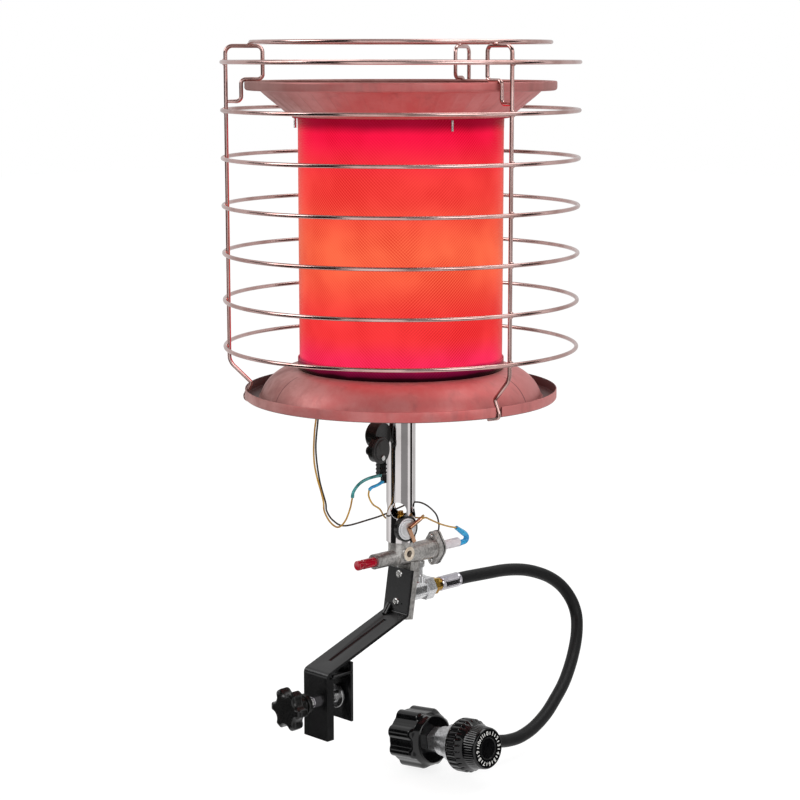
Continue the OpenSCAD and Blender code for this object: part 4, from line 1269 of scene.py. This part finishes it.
class HEATER_OT_regulator(bpy.types.Operator):
    """Builds the regulator: casting, fluted pressure knob with its numbers, and coupling nut"""

    bl_idname = "heater.regulator"
    bl_label = "Regulator"

    def execute(self, context):
        eased("regulator_shell", "regulator_body", "regulator_casting", 1.0)
        eased("nipple", "regulator_nipple", "brass", 0.4)
        self.knob(context.scene.heater_fittings)
        self.nut()
        return {"FINISHED"}

    def knob(self, sizes):
        """The knob: wide ribs round its skirt and twice as many fine ones round its barrel, each
        a power of the sine of the turn."""
        outline = rounded(
            [[10.5, 47], [26.4, 47], [27, 47.8], [27, 59.5], [22.3, 67], [20.9, 80.2],
             [19.6, 82], [10.8, 82], [10.5, 81.2], [0, 81.1]],
            [0, 0.6, 0.8, 3, 3.5, 2.2, 0.8, 0.4, 0.3, 0], 5,
        )  # fmt: skip
        hollow = [[0, 55], [10.5, 55]]
        fine = np.vstack([hollow, divided(outline, 1.1)])
        t = round_turns(384)[None, :]
        r, h = fine[:, :1], fine[:, 1:]
        skirt = smooth(h, 47.6, 49) * (1 - smooth(h, 60.5, 66)) * smooth(r, 23, 25)
        barrel = smooth(h, 67, 69.5) * (1 - smooth(h, 78, 80.5)) * smooth(r, 19, 20.3)
        wide = np.abs(np.sin(sizes.flutes * t / 2)) ** 0.55
        narrow = np.abs(np.sin(sizes.flutes * t)) ** 0.7
        dent = -1.5 * skirt * (1 - wide) - 0.35 * barrel * (1 - narrow)
        Form().add(REGULATOR.point(r + dent, h, t), caps=False).object(
            "pressure_knob_cap", "gloss_black", "gloss_black", "regulator_knob", "pressure_knob"
        )
        if sizes.numbers:
            self.dial()

    def dial(self):
        """Plain numbers round the face, with a tick between each two."""
        form = Form()
        for i in range(DIAL_PLACES):
            form.add(self.tick(TAU * (i + 0.5) / DIAL_PLACES))
        form.object("dial_ticks", "print_white", "white_plastic", body="pressure_knob")
        work = bmesh.new()
        for i in range(DIAL_PLACES):
            mesh = self.digits(i)
            work.from_mesh(mesh)
            bpy.data.meshes.remove(mesh)
        mesh = bpy.data.meshes.new("dial_numbers")
        work.to_mesh(mesh)
        work.free()
        placed(mesh, "print_white", body="pressure_knob")

    def tick(self, turn):
        """A small raised bar on the face: its four corners at two heights."""
        out = math.cos(turn) * REGULATOR.side + math.sin(turn) * REGULATOR.across
        along = np.cross(REGULATOR.along, out)
        middle = REGULATOR.origin + DIAL_FACE * REGULATOR.along + DIAL_RADIUS * out
        corners = [(-1.5, -0.5), (1.5, -0.5), (1.5, 0.5), (-1.5, 0.5)]
        base = np.array([middle + a * out + b * along for a, b in corners])
        return np.stack([base - 0.25 * REGULATOR.along, base + 0.12 * REGULATOR.along])

    def digits(self, i):
        """A number's outline with a little depth, upright to one who looks from outside."""
        curve = bpy.data.curves.new("digits", "FONT")
        curve.body = str(i)
        curve.size = 5.6 * MM
        curve.offset = 0.12 * MM
        curve.align_x = curve.align_y = "CENTER"
        curve.extrude = 0.16 * MM
        holder = bpy.data.objects.new("digits", curve)
        bpy.context.scene.collection.objects.link(holder)
        bpy.context.view_layer.update()
        mesh = bpy.data.meshes.new_from_object(
            holder.evaluated_get(bpy.context.evaluated_depsgraph_get())
        )
        bpy.data.objects.remove(holder)
        bpy.data.curves.remove(curve)
        axes = np.column_stack([-REGULATOR.across, REGULATOR.side, REGULATOR.along])
        face = Matrix([[*row, 0] for row in axes] + [[0, 0, 0, 1]])
        spin = Matrix.Rotation(-TAU * i / DIAL_PLACES, 4, "Z")
        lift = Matrix.Translation((0, DIAL_RADIUS * MM, DIAL_FACE * MM))
        mesh.transform(Matrix.Translation(REGULATOR.origin * MM) @ face @ spin @ lift)
        return mesh

    def nut(self):
        """The lobed nut: its radius is the larger of its core's and of eight round lobes', eased
        where they meet; its mouth is threaded."""
        lobes = 8
        outline = rounded(
            [[16.9, -31], [17.8, -32], [26.2, -32], [NUT_CORE, -30.6], [NUT_CORE, 2],
             [24, 8], [9.2, 8], [8.3, 7.1], [8.3, -6.8]],
            [0, 0.5, 1.2, 1.6, 2.5, 2.5, 0.6, 0.6, 0], 5,
        )  # fmt: skip
        shell = divided(outline, 1.4)
        bore = np.vstack([[[16.4, -7.0]], [[16.6, h] for h in np.linspace(-7.2, -30.6, 90)]])
        fine = np.vstack([shell, bore])
        t = round_turns(256)[None, :]
        off = from_nearest(t + math.pi / lobes, lobes)
        lobe = disc_edge(off, away=24, radius=7, side=1, missed=0)
        extra = np.minimum(0.55 * np.log(np.exp((lobe - NUT_CORE) / 0.55) + 1), 3.4)
        r, h = fine[:, :1], fine[:, 1:]
        outer = smooth(r, 22.5, 27.2) * smooth(h, -32, -30.4) * (1 - smooth(h, -1.5, 4.5))
        threads = smooth(h, -8, -10) * smooth(h, -31, -29)
        groove = 0.45 * (0.5 - 0.5 * np.cos(TAU * h / 2.6 - t)) * threads
        inner = np.arange(len(fine))[:, None] >= len(shell)
        wider = np.where(inner, groove, outer * extra)
        Form().add(REGULATOR.point(r + wider, h, t), ring=True).object(
            "coupling_nut_grip", "gloss_black", "gloss_black", "coupling_nut", "coupling_nut"
        )


# ------------------------------------------------------------------ bracket and clamp


class HEATER_OT_bracket(bpy.types.Operator):
    """Builds the bent bracket, its hook and its two screws"""

    bl_idname = "heater.bracket"
    bl_label = "Bracket"

    def execute(self, context):
        eased("bent_bracket", "bracket", "powder_black", 0.6)
        eased("hook_leg", "hook_inner_leg", "powder_black", 0.6)
        form = Form()
        for z in (11.5, 40.5):
            axis = Axis(PLATE.origin + z * PLATE.side, -PLATE.along, PLATE.side)
            form.add(screw_head(axis, 1.5, 4.0, 2.2), caps=False)
            form.add(threaded(axis, -10.4, 1.5, 1.9, 0.8, 0.18, 14))
        form.object("bracket_bolts", "zinc_plate", "zinc_steel", "bracket_screws")
        return {"FINISHED"}


class HEATER_OT_clamp(bpy.types.Operator):
    """Builds the star knob with its six bites, the threaded clamp screw, its pad and its nut"""

    bl_idname = "heater.clamp"
    bl_label = "Clamp"

    def execute(self, context):
        outline = rounded(
            [[0, -60], [17.5, -60], [KNOB_REACH, -58], [KNOB_REACH, -47], [17.5, -45], [9.5, -44],
             [8.5, -42], [8.5, -36.2], [11, -35.6], [11, -31.2], [7, -30.8], [7, -27.6],
             [3.2, -27.5], [3.02, -28], [3.02, -47.6], [0, -47.7]],
            [0, 3.5, 4, 4, 3.5, 2, 2, 0.5, 0.8, 0.8, 0.5, 0.6, 0.2, 0, 0, 0], 5,
        )  # fmt: skip
        fine = divided(outline, 1.3)
        t = round_turns(240)[None, :]
        bite = disc_edge(from_nearest(t, 6), away=25, radius=9, side=-1, missed=99)
        edge = -0.9 * np.log(np.exp(-bite / 0.9) + np.exp(-KNOB_REACH / 0.9))
        r, h = fine[:, :1], fine[:, 1:]
        star = 1 - smooth(h, -45.2, -43.6)
        share = np.clip(r / KNOB_REACH, 0, 1)
        wider = star * smooth(r, 6, 17.5) * (edge - KNOB_REACH) * share
        Form().add(CLAMP.point(r + wider, h, t), caps=False).object(
            "star_knob", "black_plastic", "black_plastic", "clamp_knob", "clamp_screw"
        )
        pitch = context.scene.heater_fittings.thread_pitch
        form = Form().add(threaded(CLAMP, -48, 4.1, 3.0, pitch, 0.38, 20, 8))
        form.add(threaded(CLAMP, 3.6, 7.8, 2.2, 9, 0, 16))
        form.object("threaded_screw", "zinc_plate", "zinc_steel", "clamp_screw", "clamp_screw")
        eased("pressure_pad", "clamp_pad", "zinc_plate", 0.6, "clamp_pad")
        eased("weld_nut", "clamp_nut", "crimped_steel", 0.4)
        return {"FINISHED"}


# ------------------------------------------------------------------ stage

# The camera: its focal length and picture in pixels, its turn and pitch, and its place in metres.
FOCAL, PICTURE, SENSOR = 2052, 800, 36
CAMERA_TURN, CAMERA_PITCH = math.radians(45), math.radians(9.566)
CAMERA_AWAY, CAMERA_UP, CAMERA_SHIFT = 2.047, 0.6095, -0.0006

# Where the flags stand round. Each has a name, its turn from the camera's side and its width in
# degrees, its lowest and highest rise, and its tone.
FLAG_AWAY, FLAG_MIDDLE = 3.4, Axis((0, 0.1, 0.4), (0, 0, 1), (1, 0, 0))
FLAGS = (
    ("flag_left", -60, 46, -50, 42, 0.012),
    ("flag_low", -98, 26, -48, -19, 0.01),
    ("flag_side", -98, 26, -6, 26, 0.01),
    ("flag_right", 89, 19, -50, 42, 0.012),
    ("flag_middle", 29, 54, -50, 22, 0.33),
    ("flag_above", 0, 150, 34, 78, 0.05),
    ("flag_behind", 177, 140, -50, 60, 0.68),
)


class HEATER_OT_stage(bpy.types.Operator):
    """Sets up the camera, the floor, the lights and the plain white surroundings"""

    bl_idname = "heater.stage"
    bl_label = "Stage"

    def execute(self, context):
        scene = context.scene
        light = scene.heater_stage
        scene.view_settings.view_transform = "Standard"
        camera = bpy.data.cameras.new("camera")
        camera.lens = SENSOR * FOCAL / PICTURE
        camera.sensor_width = SENSOR
        eye = bpy.data.objects.new("camera", camera)
        scene.collection.objects.link(eye)
        eye.location = (
            CAMERA_AWAY * math.sin(CAMERA_TURN) + CAMERA_SHIFT,
            POLE_Y * MM - CAMERA_AWAY * math.cos(CAMERA_TURN) + CAMERA_SHIFT,
            CAMERA_UP,
        )
        eye.rotation_euler = (math.radians(90) - CAMERA_PITCH, 0, CAMERA_TURN)
        scene.camera = eye

        self.surroundings(scene, light.sky)
        self.lamp("key", (-1.5, -1.9, 1.9), (0, 0.1, 0.3), 1.6, light.key)
        self.lamp("fill", (2.3, -0.2, 1.2), (0, 0.1, 0.2), 1.4, light.fill)
        self.lamp("top", (0.3, 0.9, 2.2), (0, 0.1, 0.3), 1.5, light.fill)
        for name, turn, width, low, high, tone in FLAGS:
            self.flag(name, turn, width, low, high, tone)
        self.floor(light.floor)
        return {"FINISHED"}

    def flag(self, name, turn, width, low, high, tone):
        """A cloth that only polished metal shows, like those hung beside chrome in a studio: a
        patch of a sphere, from one turn and one rise in degrees to another."""
        rows = 9
        u = np.radians(np.linspace(turn - width / 2, turn + width / 2, rows) - 45)[:, None]
        v = np.radians(np.linspace(low, high, rows))[None, :]
        points = FLAG_MIDDLE.point(FLAG_AWAY * np.cos(v), FLAG_AWAY * np.sin(v), u)
        index = np.arange(rows * rows).reshape(rows, rows)
        quads = np.stack([index[:-1, :-1], index[1:, :-1], index[1:, 1:], index[:-1, 1:]], -1)
        cloth = bpy.data.materials.new(name)
        glow = Nodes(cloth)
        glow.close(glow.node("Emission", inputs={"Color": (tone, tone, tone)}))
        cloth.cycles.emission_sampling = "NONE"
        made = self.prop(name, points.reshape(-1, 3).tolist(), quads.reshape(-1, 4).tolist(), cloth)
        made.visible_camera = made.visible_diffuse = made.visible_transmission = False
        made.visible_shadow = made.visible_volume_scatter = False

    def prop(self, name, points, faces, material):
        """A mesh that belongs to the stage and not to the object."""
        mesh = bpy.data.meshes.new(name)
        mesh.from_pydata(points, [], faces)
        mesh.materials.append(material)
        made = bpy.data.objects.new(name, mesh)
        bpy.context.scene.collection.objects.link(made)
        made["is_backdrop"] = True
        return made

    def lamp(self, name, place, aim, size, power):
        data = bpy.data.lights.new(name, "AREA")
        data.shape = "DISK"
        data.size = size
        data.energy = power
        made = bpy.data.objects.new(name, data)
        bpy.context.scene.collection.objects.link(made)
        made.location = place
        made.rotation_mode = "QUATERNION"
        made.rotation_quaternion = (Vector(aim) - Vector(place)).to_track_quat("-Z", "Y")

    def surroundings(self, scene, strength):
        """White to the camera, to glossy and to transmitted rays, and a softer grey to the rest."""
        scene.world = bpy.data.worlds.new("surroundings")
        world = Nodes(scene.world)
        path = world.outputs("LightPath")
        seen = path("Is Camera Ray").most(path("Is Glossy Ray")).most(path("Is Transmission Ray"))
        level = world.node("MapRange", None, {"Value": seen, "To Min": strength, "To Max": 1.0})
        shine = world.tree.nodes["Background"].inputs
        world.feed(shine["Strength"], level)
        world.feed(shine["Color"], (1, 1, 1))

    def floor(self, raised):
        """A wide pale floor just under the object, raised to white for the camera but for the
        shadow that lies on it."""
        low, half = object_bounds()[0].z - 0.002, 9.0
        corners = [(-half, -half, low), (half, -half, low), (half, half, low), (-half, half, low)]
        pale = Finish("pale_floor", Roughness=0.8)
        pale.set("Base Color", (0.86, 0.86, 0.86))
        own = Wire(pale, pale.shader.outputs[0])
        glow = pale.node("Emission", inputs={"Strength": raised})
        share = pale.outputs("LightPath")("Is Camera Ray") * 0.72
        pale.close(pale.node("MixShader", inputs={0: share, 1: own, 2: glow}))
        self.prop("floor", corners, [(0, 1, 2, 3)], pale.material).visible_glossy = False


# ------------------------------------------------------------------ panel and run

SETTINGS = {
    "heater_guard": GuardSettings,
    "heater_burner": BurnerSettings,
    "heater_fittings": FittingSettings,
    "heater_finishes": FinishSettings,
    "heater_stage": StageSettings,
}
OPERATORS = (
    HEATER_OT_stage,
    HEATER_OT_cords,
    HEATER_OT_sleeves,
    HEATER_OT_guard,
    HEATER_OT_reflectors,
    HEATER_OT_burner,
    HEATER_OT_tube,
    HEATER_OT_switches,
    HEATER_OT_valve,
    HEATER_OT_gas_line,
    HEATER_OT_regulator,
    HEATER_OT_bracket,
    HEATER_OT_clamp,
)


class HEATER_PT_panel(bpy.types.Panel):
    """Lists the settings and the operators"""

    bl_label = "Propane heater"
    bl_idname = "HEATER_PT_panel"
    bl_space_type = "VIEW_3D"
    bl_region_type = "UI"
    bl_category = "Heater"

    def draw(self, context):
        for name, group in SETTINGS.items():
            box = self.layout.box()
            for key in group.__annotations__:
                box.prop(getattr(context.scene, name), key)
        for operator in OPERATORS:
            self.layout.operator(operator.bl_idname)


def register():
    for group in (*SETTINGS.values(), *OPERATORS, HEATER_PT_panel):
        bpy.utils.register_class(group)
    for name, group in SETTINGS.items():
        setattr(bpy.types.Scene, name, PointerProperty(type=group))


def unregister():
    for name in SETTINGS:
        delattr(bpy.types.Scene, name)
    for group in reversed((*SETTINGS.values(), *OPERATORS, HEATER_PT_panel)):
        bpy.utils.unregister_class(group)


def main():
    register()
    for operator in OPERATORS:
        group, name = operator.bl_idname.split(".")
        getattr(getattr(bpy.ops, group), name)()


if __name__ == "__main__":
    main()
